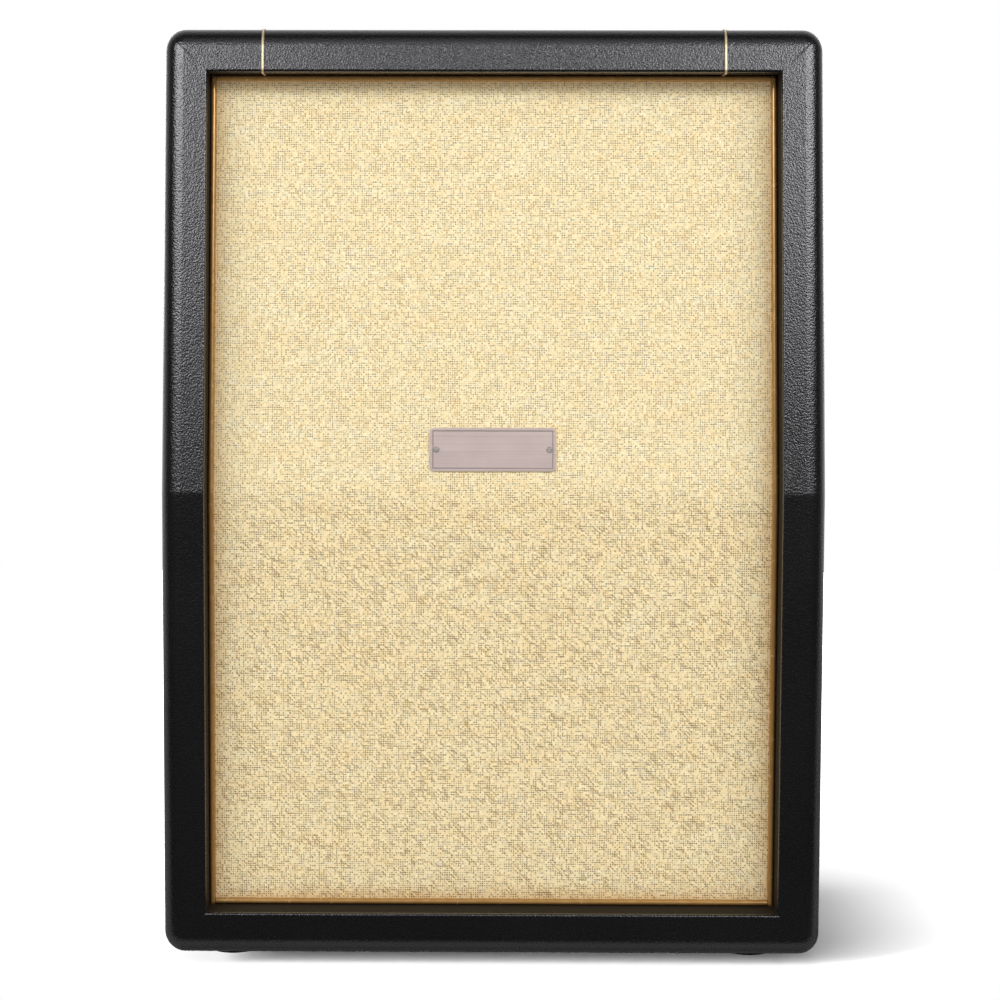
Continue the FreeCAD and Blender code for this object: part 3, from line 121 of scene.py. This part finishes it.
class Paint:
    """A material or a world being mixed: its shader's sockets, and one method that adds a node."""

    def __init__(self, name, kind=bpy.data.materials, shader="Principled BSDF", **constants):
        self.block = kind.new(name)
        self.block.use_nodes = True
        self.tree = self.block.node_tree
        self.shader = self.tree.nodes[shader]
        for socket, number in constants.items():
            self.shader.inputs[socket.replace("_", " ")].default_value = number

    def add(self, kind, settings, sockets, out=0):
        """Add a node of a kind: its settings first, then its sockets by name or by place."""
        made = self.tree.nodes.new("ShaderNode" + kind)
        for name, setting in settings.items():
            if name == "stops":
                stops = made.color_ramp.elements
                for _ in range(len(setting) - len(stops)):
                    stops.new(1)
                for stop, (place, colour) in zip(stops, setting):
                    stop.position = place
                    stop.color = (*colour, 1)
            else:
                setattr(made, name, setting)
        for key, given in sockets.items():
            self.feed(made.inputs[key], given)
        return Value(self, made.outputs[out])

    def feed(self, socket, given):
        """Link a value to a socket, or set the socket to a number, a vector or a colour."""
        if isinstance(given, Value):
            self.tree.links.new(given.socket, socket)
        else:
            socket.default_value = given

    def set(self, socket, given):
        """Feed one of the shader's own sockets."""
        self.feed(self.shader.inputs[socket], given)

    def place(self, scale=(1, 1, 1)):
        """Object coordinates in metres, scaled."""
        spot = self.add("TexCoord", {}, {}, out="Object")
        return self.add("Mapping", {}, {"Vector": spot, "Scale": scale})

    def parted(self, where):
        """The X, Y and Z of a vector."""
        x = self.add("SeparateXYZ", {}, {"Vector": where})
        return x, x.output("Y"), x.output("Z")

    def noise(self, where, scale, detail=3, roughness=0.5):
        return self.add("TexNoise", {}, {"Vector": where, "Scale": scale, "Detail": detail,
                                         "Roughness": roughness})

    def ramp(self, factor, *stops):
        return self.add("ValToRGB", {"stops": stops}, {"Fac": factor})

    def mixed(self, factor, one, other):
        """A colour between two, by a factor. The Mix node has its colours in places 6 and 7."""
        first, second = (c if isinstance(c, Value) else (*c, 1) for c in (one, other))
        return self.add("Mix", {"data_type": "RGBA"}, {0: factor, 6: first, 7: second}, out=2)

    def bump(self, height, strength, distance):
        """Turn the shader's normal by a height whose full range is a distance in metres."""
        self.set("Normal", self.add("Bump", {}, {"Height": height, "Strength": strength,
                                                 "Distance": distance}))


def dress(paint, *names):
    """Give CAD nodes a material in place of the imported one."""
    for name in names:
        nodes[name].data.materials.clear()
        nodes[name].data.materials.append(paint.block)


birch_dark, birch_mid, birch_pale = (0.36, 0.22, 0.11), (0.58, 0.40, 0.23), (0.71, 0.53, 0.33)
along_grain, across_grain = 1.6, 14


def plywood(name, grain_scale):
    """Pale birch: long figure along the board, fine pores across it."""
    wood = Paint(name)
    where = wood.place(grain_scale)
    figure = wood.noise(where, scale=6.0, detail=5, roughness=0.6)
    pores = wood.noise(where, scale=60.0, detail=2)
    tone = figure * 0.75 + pores * 0.25
    wood.set("Base Color", wood.ramp(tone, (0.3, birch_dark), (0.52, birch_mid),
                                     (0.75, birch_pale)))
    wood.set("Roughness", 0.75 - pores * 0.2)
    wood.bump(pores, strength=0.25, distance=0.0003)
    return wood


dress(plywood("birch_upright", (across_grain, across_grain, along_grain)),
      "left_side_panel", "right_side_panel", "back_panel", "front_batten_left",
      "front_batten_right", "baffle_cleats", "lower_baffle", "upper_baffle")
dress(plywood("birch_across", (along_grain, across_grain, across_grain)),
      "bottom_panel", "top_panel", "front_batten_bottom", "front_batten_top", "rear_cleats")


# Covering
# Black leathercloth, a vinyl with a fine pebble grain, glued over the box and wrapped into the
# front recess and round the rear edge. The middle of the top is a sheet of its own between two
# beads.

slant = math.radians(8)
front_bend = 0.365
pebbles_per_metre, swells_per_metre = 760.0, 520.0
recess_half, recess_base, recess_crown, recess_lip = 0.217, 0.041, 0.681, -0.1475
vinyl_deep, vinyl_worn = (0.0022, 0.0022, 0.0027), (0.0050, 0.0050, 0.0058)
seam_black, recess_shade_brown = (0.0006, 0.0006, 0.0006), (0.022, 0.016, 0.010, 1)


def leathercloth(name, mitred):
    """Near-black vinyl: rounded pebbles a little over a millimetre across with creases between
    them. Where it is mitred, a fine seam runs from each upper front corner of the box towards the
    corner of the recess, and inside the recess a matt brown-black shader paints shade there, with a
    painted brown reflection of the cloth."""
    vinyl = Paint(name, IOR=1.6, Specular_IOR_Level=1.0, Specular_Tint=(0.97, 0.96, 1.0, 1))
    where = vinyl.place()
    pebbles = vinyl.add("TexVoronoi", {"feature": "SMOOTH_F1"},
                        {"Vector": where, "Scale": pebbles_per_metre, "Smoothness": 0.5})
    swell = vinyl.noise(where, scale=swells_per_metre, detail=3, roughness=0.6)
    drift = vinyl.noise(where, scale=9.0, detail=3)
    tone = swell * 0.5 + drift * 0.5
    black = vinyl.ramp(tone, (0.3, vinyl_deep), (0.7, vinyl_worn))
    height = swell * 0.7 - pebbles * 0.7
    if mitred:
        side, depth, level = vinyl.parted(where)
        past_side, past_top = side.absolute() - recess_half, level - recess_crown
        on_mitre = 1 - (past_side - past_top).absolute().over(0.0006, 0.0007)
        seam = on_mitre * past_side.over(0.012, 0.016)
        black = vinyl.mixed(seam * 0.5, black, seam_black)
        height = height - seam * 1.1
        lean = (level - front_bend).at_least(0.0) * math.tan(slant)
        # Inside the recess, on its walls and ledge, a matt brown-black shader paints shade and a
        # painted brown reflection of the cloth.
        framed = (1 - past_side.over(0.0006, 0.0006)) * (1 - past_top.over(0.009, 0.004))
        recess_shade_mask = framed * level.over(recess_base, 0.002) * (depth - lean).over(recess_lip, 0.002)
        matt = vinyl.add("BsdfPrincipled", {}, {"Base Color": recess_shade_brown, "Roughness": 0.8,
                                                "Specular IOR Level": 0.22})
        glossy = Value(vinyl, vinyl.shader.outputs[0])
        both = vinyl.add("MixShader", {}, {0: recess_shade_mask, 1: glossy, 2: matt})
        vinyl.feed(vinyl.tree.nodes["Material Output"].inputs["Surface"], both)
    vinyl.set("Base Color", black)
    vinyl.set("Roughness", 0.205 + pebbles * 0.08 + drift * 0.04)
    vinyl.bump(height, strength=0.8, distance=0.00025)
    return vinyl


dress(leathercloth("black_leathercloth", True), "covering_body")
dress(leathercloth("black_leathercloth_plain", False), "covering_top", "back_covering")


# Beads over the top
# Two narrow strips of gold foil on a soft core. They are pressed over the seams between the
# middle sheet and the side sheets of the top, and run down its front.

bead_pale, bead_bright, bead_side_shade = (0.80, 0.62, 0.38), (1.0, 0.86, 0.60), (0.17, 0.115, 0.06)
bead_half = 0.0011
bead_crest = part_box("top_beads")[1].x - bead_half


def gold(name, deep, bright, hollow, roughness, metallic, crest=None, frame_edge=None):
    """Gold foil on a soft core, faintly uneven. Where a crest is given, as a distance from the
    middle, the foil keeps its bright tone along it and turns to a painted shade at its sides, which
    leaves a painted highlight along the crest. Where the frame's edge is given, as a half width, a
    base and a crown, the foil has the painted shade against it."""
    foil = Paint(name, Metallic=metallic, Specular_IOR_Level=0.5)
    where = foil.place()
    uneven = foil.noise(where, scale=140.0, detail=3)
    tone = foil.ramp(uneven, (0.3, deep), (0.7, bright))
    side, _, level = foil.parted(where)
    if crest:
        aside = (side.absolute() - crest).absolute()
        tone = foil.mixed(aside.over(0.0007, 0.0005), tone, hollow)
    if frame_edge:
        half, base, crown = frame_edge
        inward = (half - side.absolute()).at_most((level - base).at_most(crown - level))
        tone = foil.mixed(inward.over(0.0016, 0.0018), hollow, tone)
    foil.set("Base Color", tone)
    foil.set("Roughness", uneven * 0.08 + roughness)
    return foil


# The bead's sides carry a painted shade, which leaves a painted highlight along its crest.
dress(gold("gold_bead", bead_pale, bead_bright, bead_side_shade, roughness=0.25, metallic=0.6,
           crest=bead_crest), "top_beads")


# Piping round the cloth
# A soft gold cord in four lengths, pressed into the corner between the cloth and the frame's wrap.
# Its foil has a painted shade where it meets the frame.

piping_deep, piping_bright = (0.50, 0.27, 0.080), (0.58, 0.34, 0.12)
piping_frame_shade = (0.15, 0.065, 0.014)
piping_edge = (0.2169, 0.045, 0.6809)
# The piping's edge against the frame carries a painted shade.
dress(gold("gold_piping", piping_deep, piping_bright, piping_frame_shade, roughness=0.22,
           metallic=0.45, frame_edge=piping_edge), "cloth_piping")


# Grille cloth
# One sheet of coarse cream cloth, woven from slubby yarn with brown flecks, stretched over both
# baffles and bent with them. Its edges run under the piping.

lower_corner, upper_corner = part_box("grille_cloth")
cloth_half = upper_corner.x
cloth_base, cloth_crown = lower_corner.z, upper_corner.z
cloth_front = lower_corner.y
cloth_bend = 0.3628
cloth_thickness, cloth_inset, ripple_depth = 0.0006, 0.0002, 0.00015
rise = cloth_bend - cloth_base
slope = (cloth_crown - cloth_bend) / math.cos(slant)


def linked(name, data):
    """An object at the origin, in the scene."""
    made = bpy.data.objects.new(name, data)
    bpy.context.collection.objects.link(made)
    return made


def skinned(name, points, faces, smooth):
    """A piece made of points and of faces with four corners; smooth says which of them are
    shaded so."""
    mesh = bpy.data.meshes.new(name)
    mesh.from_pydata(points.reshape(-1, 3).tolist(), [], faces.tolist())
    mesh.polygons.foreach_set("use_smooth", smooth)
    return linked(name, mesh)


def sheet_mesh(name, across, along, surface):
    """A grid of two parameters, u across and v along, put in place by a surface function; its UV
    map holds the lengths u and v in metres."""
    u, v = np.meshgrid(across, along)
    wide, long = len(across), len(along)
    corner = (np.arange(long - 1)[:, None] * wide + np.arange(wide - 1)).ravel()
    faces = np.stack([corner, corner + 1, corner + wide + 1, corner + wide], -1)
    made = skinned(name, np.stack(surface(u, v), -1), faces, [True] * len(faces))
    flat = np.stack([u, v], -1).reshape(-1, 2)[faces.ravel()]
    made.data.uv_layers.new(name="lengths").data.foreach_set("uv", flat.astype(np.float32).ravel())
    return made


def stretched(u, v):
    """A flat lower half up to the bend and a half that leans back above it: level and depth follow
    the length v along the cloth, with a shallow ripple, the product of two sines, in the depth."""
    over = np.maximum(v - rise, 0)
    level = cloth_base + np.minimum(v, rise) + over * math.cos(slant)
    depth = cloth_front + over * math.sin(slant)
    ripple = ripple_depth * np.sin(u * 41 + np.sin(v * 17) * 2) * np.sin(v * 29 + u * 9)
    return u, depth + ripple + cloth_inset, level


cloth = sheet_mesh("woven_cloth", np.linspace(-cloth_half, cloth_half, 140),
                   np.linspace(0, rise + slope, 220), stretched)
thick = cloth.modifiers.new("thickness", "SOLIDIFY")
thick.thickness = cloth_thickness
thick.offset = -1

yarn_pitch = 0.0017
yarn_dark, yarn_mid, yarn_pale = (0.72, 0.54, 0.28), (0.93, 0.79, 0.48), (1.0, 0.94, 0.70)
yarn_amber, shade_tan, fleck_brown = (0.95, 0.73, 0.39), (0.66, 0.39, 0.14), (0.22, 0.095, 0.006)


def weave(name):
    """Plain weave on the cloth's own lengths: two sets of rounded yarns over and under in turn,
    each with a tone that drifts along it. Dark pinholes of uneven depth lie at the lattice's nodes,
    the lines between yarns show as broken dashes, and below the bend some pinholes join in short
    slanting strokes."""
    yarn = Paint(name, Roughness=0.9, Specular_IOR_Level=0.15, Sheen_Weight=0.02)
    spot = yarn.add("UVMap", {"uv_map": "lengths"}, {})
    x, y, _ = yarn.parted(spot)

    def pair(first, second):
        return yarn.add("CombineXYZ", {}, {0: first, 1: second})

    def chance(first, second):
        return yarn.add("TexWhiteNoise", {"noise_dimensions": "2D"},
                        {"Vector": pair(first, second)})

    def gap(offset):
        """The hollow on either side of a line between two yarns."""
        return 1 - offset.absolute().over(0.25, 0.3)

    wander = (yarn.noise(spot, scale=45.0, detail=2) - 0.5) * 0.8
    warp, weft = x / yarn_pitch + wander, y / yarn_pitch + wander
    turn = ((warp.whole() + weft.whole()) * 0.5).rest() * 2
    crest = (turn * (warp * math.pi).wave().absolute()
             + (1 - turn) * (weft * math.pi).wave().absolute())
    column, row = (warp + 0.5).whole(), (weft + 0.5).whole()
    aside, above = warp - column, weft - row
    thin_warp = yarn.noise(pair(column * 3.7, y * 140.0), scale=1.0, detail=2)
    thin_weft = yarn.noise(pair(x * 140.0, row * 3.7), scale=1.0, detail=2)
    between_warps, between_wefts = gap(aside), gap(above)
    cluster = yarn.noise(spot, scale=75.0, detail=2)
    below = 1 - y.over(rise, 0.03)
    deep = (chance(column, row) + cluster * 0.9).over(0.98, 0.5)
    pinhole = between_warps * between_wefts * deep
    dash = (between_wefts * thin_weft.over(0.58, 0.14) * 0.42
            + between_warps * thin_warp.over(0.6, 0.14) * 0.3)
    diagonal = chance(column + row, ((column - row) * 0.25).whole())
    slanting = (diagonal + cluster * 0.5).over(1.14, 0.1)
    stroke = (1 - (aside + above).absolute().over(0.35, 0.4)) * slanting * (0.1 + below * 0.9)
    dark = (pinhole * (1.02 + below * 0.26) + dash * (0.9 + below * 0.2)
            + stroke * 0.6).at_most(1.0)
    # Next to the cloth's edges, under the piping and the frame, a painted shade turns it tan,
    # fading out between about 1 and 15 mm from the edge.
    margin = (cloth_half - x.absolute()).at_most(y.at_most(rise + slope - y))
    edge_shade_mask = 1 - margin.over(0.008, 0.014)
    tone = turn * thin_warp + (1 - turn) * thin_weft
    cream = yarn.ramp(tone * 0.86 + chance(row, column) * 0.14,
                      (0.28, yarn_dark), (0.46, yarn_mid), (0.66, yarn_pale))
    band = yarn.noise(pair(x * 14.0, y * 70.0), scale=1.0, detail=3)
    # Amber streaks run at random; below the bend more amber is mixed in as a painted shade, so the
    # lower half is warmer.
    streaked_and_shaded = yarn.mixed(band.over(0.52, 0.3) * 0.34 + below * 0.14, cream, yarn_amber)
    shaded_at_edges = yarn.mixed(edge_shade_mask * 0.55, streaked_and_shaded, shade_tan)
    yarn.set("Base Color", yarn.mixed(dark * 0.92, shaded_at_edges, fleck_brown))
    yarn.bump(crest + tone * 0.3, strength=0.6, distance=0.0003)
    return yarn


cloth.data.materials.append(weave("cream_weave").block)
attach(cloth, "cabinet")
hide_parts("grille_cloth")


# Plate on the cloth
# A blank plate of brushed metal with a plain raised rim and rounded corners. Two domed nickel pins
# hold it through the cloth.

plate_low, plate_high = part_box("front_plate")
plate_middle, plate_half_high = (plate_low.z + plate_high.z) / 2, (plate_high.z - plate_low.z) / 2
plate_half_wide, rim_width = plate_high.x, 0.002
plate_tone, rim_foot_tone, nickel_tone = (0.74, 0.605, 0.57), (0.17, 0.13, 0.12), (0.80, 0.76, 0.72)


def brushed(name, tone, roughness, metallic=1.0, rimmed=False):
    """Metal brushed along X: long fine scratches that vary the tone and the gloss. On the rimmed
    plate a dark line lies along the rim's foot, at a set distance inside the plate's edge."""
    metal = Paint(name, Metallic=metallic)
    where = metal.place()
    scratch = metal.noise(metal.place((6, 900, 900)), scale=1.0, detail=3)
    blotch = metal.noise(where, scale=60.0, detail=2)
    shade = metal.ramp(scratch * 0.7 + blotch * 0.3, (0.3, [c * 0.82 for c in tone]), (0.7, tone))
    if rimmed:
        side, _, level = metal.parted(where)
        inside = plate_half_high - (level - plate_middle).absolute()
        inward = (plate_half_wide - side.absolute()).at_most(inside)
        foot = inward.over(rim_width, 0.0004) * (1 - inward.over(rim_width + 0.0008, 0.0005))
        shade = metal.mixed(foot * 0.6, shade, rim_foot_tone)
    metal.set("Base Color", shade)
    metal.set("Roughness", scratch * 0.25 + roughness)
    metal.bump(scratch, strength=0.12, distance=0.0002)
    return metal


dress(brushed("brushed_plate", plate_tone, roughness=0.28, metallic=0.55, rimmed=True),
      "front_plate")
bright_nickel = brushed("bright_nickel", nickel_tone, roughness=0.16, metallic=0.75)
dress(bright_nickel, "plate_pins")


# Screws, washers, bolts and tee nuts
# Wood screws that hold the baffles, the back, the handles, the dish and the feet, the back's cup
# washers, and machine bolts in tee nuts that hold the drivers. Black oxide or nickel outside,
# zinc inside.

def plated(name, tone, metallic, roughness):
    """Plated, coated or blackened metal with a faint mottle."""
    steel = Paint(name, Metallic=metallic)
    mottle = steel.noise(steel.place(), scale=320.0, detail=3)
    steel.set("Base Color", steel.ramp(mottle, (0.3, [c * 0.7 for c in tone]), (0.7, tone)))
    steel.set("Roughness", mottle * 0.25 + roughness)
    steel.bump(mottle, strength=0.1, distance=0.0002)
    return steel


dress(plated("black_oxide", (0.03, 0.03, 0.032), metallic=0.6, roughness=0.35),
      "back_screws", "handle_screws", "jack_dish_screws", "driver_bolts")
dress(plated("zinc", (0.60, 0.60, 0.58), metallic=1.0, roughness=0.3),
      "baffle_screws", "foot_screws", "driver_tee_nuts")
dress(bright_nickel, "back_cup_washers")


# Rubber feet and side handles
# Four moulded rubber feet, screwed up through a well, and two moulded plastic cups let into the
# sides and screwed there.

def moulded(name, tone, roughness, grain):
    """Moulded black plastic or rubber with a fine spark-eroded texture."""
    stuff = Paint(name)
    where = stuff.place()
    speckle = stuff.noise(where, scale=grain, detail=2)
    drift = stuff.noise(where, scale=25.0, detail=2)
    stuff.set("Base Color", stuff.ramp(drift, (0.3, [c * 0.75 for c in tone]), (0.7, tone)))
    stuff.set("Roughness", speckle * 0.2 + roughness)
    stuff.bump(speckle, strength=0.35, distance=0.0003)
    return stuff


dress(moulded("foot_rubber", (0.022, 0.022, 0.022), roughness=0.7, grain=500.0), "feet")
handle_plastic = moulded("handle_plastic", (0.016, 0.016, 0.017), roughness=0.4, grain=900.0)
dress(handle_plastic, "handle_left", "handle_right")


# Jack
# A pressed steel dish with black powder coat, screwed to the back. The plastic socket is held in
# it by a nickel nut, and a sprung brass leaf inside touches the plug's tip.

powder_coat = plated("powder_coat", (0.02, 0.02, 0.021), metallic=0.0, roughness=0.42)
dress(powder_coat, "jack_dish")
dress(handle_plastic, "jack_socket")
dress(bright_nickel, "jack_nut")
dress(brushed("spring_brass", (0.78, 0.56, 0.22), roughness=0.22), "jack_tip_contact")


# Drivers
# Two twelve-inch drivers bolted behind the baffles: a pressed steel basket on a board gasket, a
# paper cone with its dust cap and copper coil, and a ferrite magnet between zinc-plated plates.

def pulp(name, dark, light):
    """Pressed pulp or doped cloth: short random fibres, matt."""
    paper = Paint(name)
    where = paper.place()
    fibre = paper.noise(where, scale=350.0, detail=4, roughness=0.65)
    cloud = paper.noise(where, scale=30.0, detail=2)
    paper.set("Base Color", paper.ramp(fibre * 0.6 + cloud * 0.4, (0.3, dark), (0.7, light)))
    paper.set("Roughness", 0.95 - fibre * 0.2)
    paper.bump(fibre, strength=0.4, distance=0.0004)
    return paper


def dress_drivers(paint, *parts):
    """Give the same parts of both drivers a material."""
    dress(paint, *[driver + part for driver in ("lower_", "upper_") for part in parts])


dress_drivers(powder_coat, "basket")
dress_drivers(pulp("cone_pulp", dark=(0.018, 0.017, 0.016), light=(0.050, 0.047, 0.043)),
              "cone", "dust_cap")
dress_drivers(pulp("gasket_board", dark=(0.06, 0.05, 0.035), light=(0.14, 0.11, 0.08)), "gasket")
dress_drivers(pulp("terminal_board", dark=(0.10, 0.05, 0.02), light=(0.22, 0.12, 0.05)),
              "terminal_strip")
dress_drivers(plated("motor_zinc", (0.56, 0.53, 0.46), metallic=1.0, roughness=0.32),
              "top_plate", "back_plate")
dress_drivers(plated("ferrite", (0.05, 0.05, 0.053), metallic=0.1, roughness=0.5), "magnet")
dress_drivers(brushed("copper_winding", (0.72, 0.34, 0.16), roughness=0.3), "voice_coil")


# Surrounds and spiders
# Rings of pleated cloth glued between the basket and the moving cone, doped black at the cone's
# edge and resin brown at the coil. Each is laid in sectors that reach from the basket to the
# cone.

def pleats(radii, inner, outer, pitch, foot, half_height):
    """Heights over the radii: one minus a cosine, from a foot upwards, between an inner and an
    outer radius, and level beyond them."""
    reach = np.clip(radii, inner, outer) - inner
    return foot + half_height * (1 - np.cos(2 * math.pi * reach / pitch))


def pleated_sector(name, seat, ahead, radii, fronts, thickness, turn, spread):
    """A sector of a pleated ring: its front follows the heights over the radii, its back lies one
    thickness behind, and both are turned about the driver's axis through the sector's angle. Flat
    ends close it."""
    seat, ahead = np.array(seat), np.array(ahead)
    across = np.array([1.0, 0, 0])
    upright = np.cross(ahead, across)
    loop_r = np.concatenate([radii, radii[::-1]])
    loop_z = np.concatenate([fronts, (fronts - thickness)[::-1]])
    angles = np.linspace(turn - spread / 2, turn + spread / 2, 13)
    spokes = np.cos(angles)[:, None] * across + np.sin(angles)[:, None] * upright
    points = seat + loop_r[:, None] * spokes[:, None] + loop_z[:, None] * ahead
    count = len(loop_r)
    rows = np.arange(len(angles) - 1)[:, None] * count
    around = np.arange(count)
    after = (around + 1) % count
    skin = np.stack([rows + around, rows + after, rows + count + after, rows + count + around], -1)
    skin = skin.reshape(-1, 4)
    front = np.arange(len(radii) - 1)
    back = count - 1 - front
    first_end = np.stack([front + 1, front, back, back - 1], -1)
    last_end = np.stack([front, front + 1, back - 1, back], -1) + (len(angles) - 1) * count
    faces = np.concatenate([skin, first_end, last_end])
    return skinned(name, points, faces, np.arange(len(faces)) < len(skin))


def pleated_ring(driver, part, seat, ahead, radii, fronts, thickness, sectors, paint):
    """A whole ring of sectors side by side round the driver's axis, each painted and set in
    place; the ring from model.glb is hidden."""
    spread = 2 * math.pi / sectors
    for k in range(sectors):
        turn = spread * (k + 0.5)
        sector = pleated_sector("%s_%s_%02d" % (driver, part, k + 1), seat, ahead, radii, fronts,
                                thickness, turn, spread)
        sector.data.materials.append(paint.block)
        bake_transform(sector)
        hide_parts(driver + "_" + part)


doped = pulp("surround_cloth", dark=(0.015, 0.014, 0.013), light=(0.04, 0.038, 0.035))
cone_edge, roll_in, roll_out, clamped_edge = 0.11797, 0.12157, 0.13057, 0.14017
edge_r = np.concatenate([[cone_edge], np.linspace(roll_in, roll_out, 41), [clamped_edge]])
edge_z = pleats(edge_r, roll_in, roll_out, pitch=0.0045, foot=-0.0022, half_height=0.0015)
surround_thickness, surround_sectors, surround_hold = 0.0008, 16, 0.1281

resin = pulp("spider_cloth", dark=(0.28, 0.16, 0.06), light=(0.48, 0.30, 0.12))
coil_edge, pleats_out, glued_edge = 0.02285, 0.058, 0.0656
centre_r = np.concatenate([np.linspace(coil_edge, pleats_out, 61), [glued_edge]])
centre_z = pleats(centre_r, coil_edge, pleats_out, pitch=0.011717, foot=-0.0754,
                  half_height=0.001)
spider_thickness, spider_sectors, spider_hold, spider_move = 0.0006, 6, 0.0502, 0.023

lower_seat, lower_ahead = (0, -0.102, 0.20357), (0, -1, 0)
upper_seat, upper_ahead = (0, -0.078846, 0.526399), (0, -0.990268, 0.139173)
for driver, seat, ahead in (("lower", lower_seat, lower_ahead),
                            ("upper", upper_seat, upper_ahead)):
    pleated_ring(driver, "surround", seat, ahead, edge_r, edge_z, surround_thickness,
                 surround_sectors, doped)
    pleated_ring(driver, "spider", seat, ahead, centre_r, centre_z, spider_thickness,
                 spider_sectors, resin)


# Studio
# A pale floor in a white room. Soft lamps stand to the left and right of the camera, over it and
# behind the cabinet, and two suns light the floor alone, so that it shows the cabinet's shadow.

floor_left, floor_right, floor_front, floor_back = -2, 2, -0.175, 2.5
floor_corners = np.array([(floor_left, floor_front, 0), (floor_right, floor_front, 0),
                          (floor_right, floor_back, 0), (floor_left, floor_back, 0)], float)
floor = skinned("floor", floor_corners, np.array([(0, 1, 2, 3)]), [False])
ground = Paint("pale_floor", Roughness=0.9, Specular_IOR_Level=0.0)
reach = ground.add("VectorMath", {"operation": "LENGTH"}, {0: ground.place()}, out="Value")
camera_ray = ground.add("LightPath", {}, {}, out="Is Camera Ray")
ground.set("Base Color", ground.mixed(camera_ray, (0.06, 0.06, 0.06), (0.45, 0.45, 0.45)))
ground.set("Emission Color", camera_ray * reach.over(0.8, 0.8))
ground.set("Emission Strength", 0.9)
floor.data.materials.append(ground.block)


def white_room():
    """White where the camera looks, and in reflections of what lies behind the cabinet. On matt
    surfaces it is a dim fill that grows towards the front, as a power of the cosine."""
    room = Paint("white_room", bpy.data.worlds, "Background")
    heading = room.add("TexCoord", {}, {}, out="Generated")
    _, backward, _ = room.parted(heading)
    frontal = room.add("VectorMath", {"operation": "DOT_PRODUCT"}, {0: heading, 1: (0, -1, 0)},
                       out="Value")
    camera_ray = room.add("LightPath", {}, {}, out="Is Camera Ray")
    seen = camera_ray.at_least(camera_ray.output("Is Transmission Ray"))
    behind = (backward * 1.1).at_least(0.03).at_most(1.0)
    mirrored = camera_ray.output("Is Glossy Ray") * behind
    fill = frontal.at_least(0.0).power(6.0) * 1.5 + 0.2
    scattered = camera_ray.output("Is Diffuse Ray") * fill
    room.set("Color", (1, 1, 1, 1))
    room.set("Strength", seen.at_least(mirrored).at_least(scattered))
    return room.block


bpy.context.scene.world = white_room()
middle = np.array([0, 0, 0.4])


def stood(made, right, up, back, spot):
    """Place a lamp or the camera by the directions of its own X, Y and Z, and its spot."""
    stance = np.eye(4)
    stance[:3] = np.stack([right, up, back, spot], -1)
    made.matrix_world = stance.T.tolist()


def softbox(name, azimuth, elevation, wide, high, radiance, distance=3.0):
    """A rectangular lamp that faces the cabinet's middle, from an azimuth in degrees from the front
    to the right and an elevation; its power gives each part of its face the same radiance."""
    lamp = bpy.data.lights.new(name, "AREA")
    lamp.shape = "RECTANGLE"
    lamp.size = wide
    lamp.size_y = high
    lamp.energy = radiance * math.pi * wide * high
    a, e = math.radians(azimuth), math.radians(elevation)
    back = np.array([math.sin(a) * math.cos(e), -math.cos(a) * math.cos(e), math.sin(e)])
    right = np.cross((0, 0, 1), back)
    right /= np.linalg.norm(right)
    stood(linked(name, lamp), right, np.cross(back, right), back, middle + distance * back)


softbox("left_box", -34, 25.5, wide=2.3, high=0.6, radiance=6.9)
softbox("right_box", 34, 25.5, wide=2.3, high=0.6, radiance=6.8)
softbox("front_box", 0, 43, wide=1.4, high=2.2, radiance=0.38)
softbox("rear_left_box", -150, 14, wide=1.0, high=1.4, radiance=3.0)
softbox("rear_right_box", 150, 14, wide=1.0, high=1.4, radiance=3.0)

floor_only = bpy.data.collections.new("floor_only")
floor_only.objects.link(floor)


def floor_sun(name, energy, spread, azimuth, elevation):
    """A wide sun that lights the floor alone, so that the cabinet's shadow shows on it."""
    lamp = bpy.data.lights.new(name, "SUN")
    lamp.energy = energy
    lamp.angle = math.radians(spread)
    made = linked(name, lamp)
    made.rotation_euler = (math.radians(90 - elevation), 0, math.radians(azimuth))
    made.light_linking.receiver_collection = floor_only


floor_sun("high_sun", energy=6.0, spread=14, azimuth=-80, elevation=85.2)
floor_sun("low_sun", energy=33.0, spread=20, azimuth=-62, elevation=10.5)


# Camera
# It stands two metres in front, a little left of the middle and above it, and looks slightly down.
# A shift of the lens sets the cabinet where it stands in the frame.

film_width = 36
lens_px, sensor_px, axis_px = 2629.4, 1000.0, 432.8
eye = (-0.0251, -2.112, 0.5341)
yaw, pitch, roll = (math.radians(a) for a in (-0.5888, -5.0537, 0.1097))
ahead = np.array([math.sin(yaw) * math.cos(pitch), math.cos(yaw) * math.cos(pitch),
                  math.sin(pitch)])
side = np.array([math.cos(yaw), -math.sin(yaw), 0])
over = np.cross(side, ahead)
lens = bpy.data.cameras.new("camera")
lens.sensor_width = film_width
lens.lens = film_width * lens_px / sensor_px
lens.shift_x = 0.5 - axis_px / sensor_px
lens.clip_start, lens.clip_end = 0.05, 50
camera = linked("camera", lens)
stood(camera, math.cos(roll) * side + math.sin(roll) * over,
      math.cos(roll) * over - math.sin(roll) * side, -ahead, eye)
bpy.context.scene.camera = camera
bpy.context.scene.view_settings.view_transform = "Standard"

bpy.context.view_layer.update()
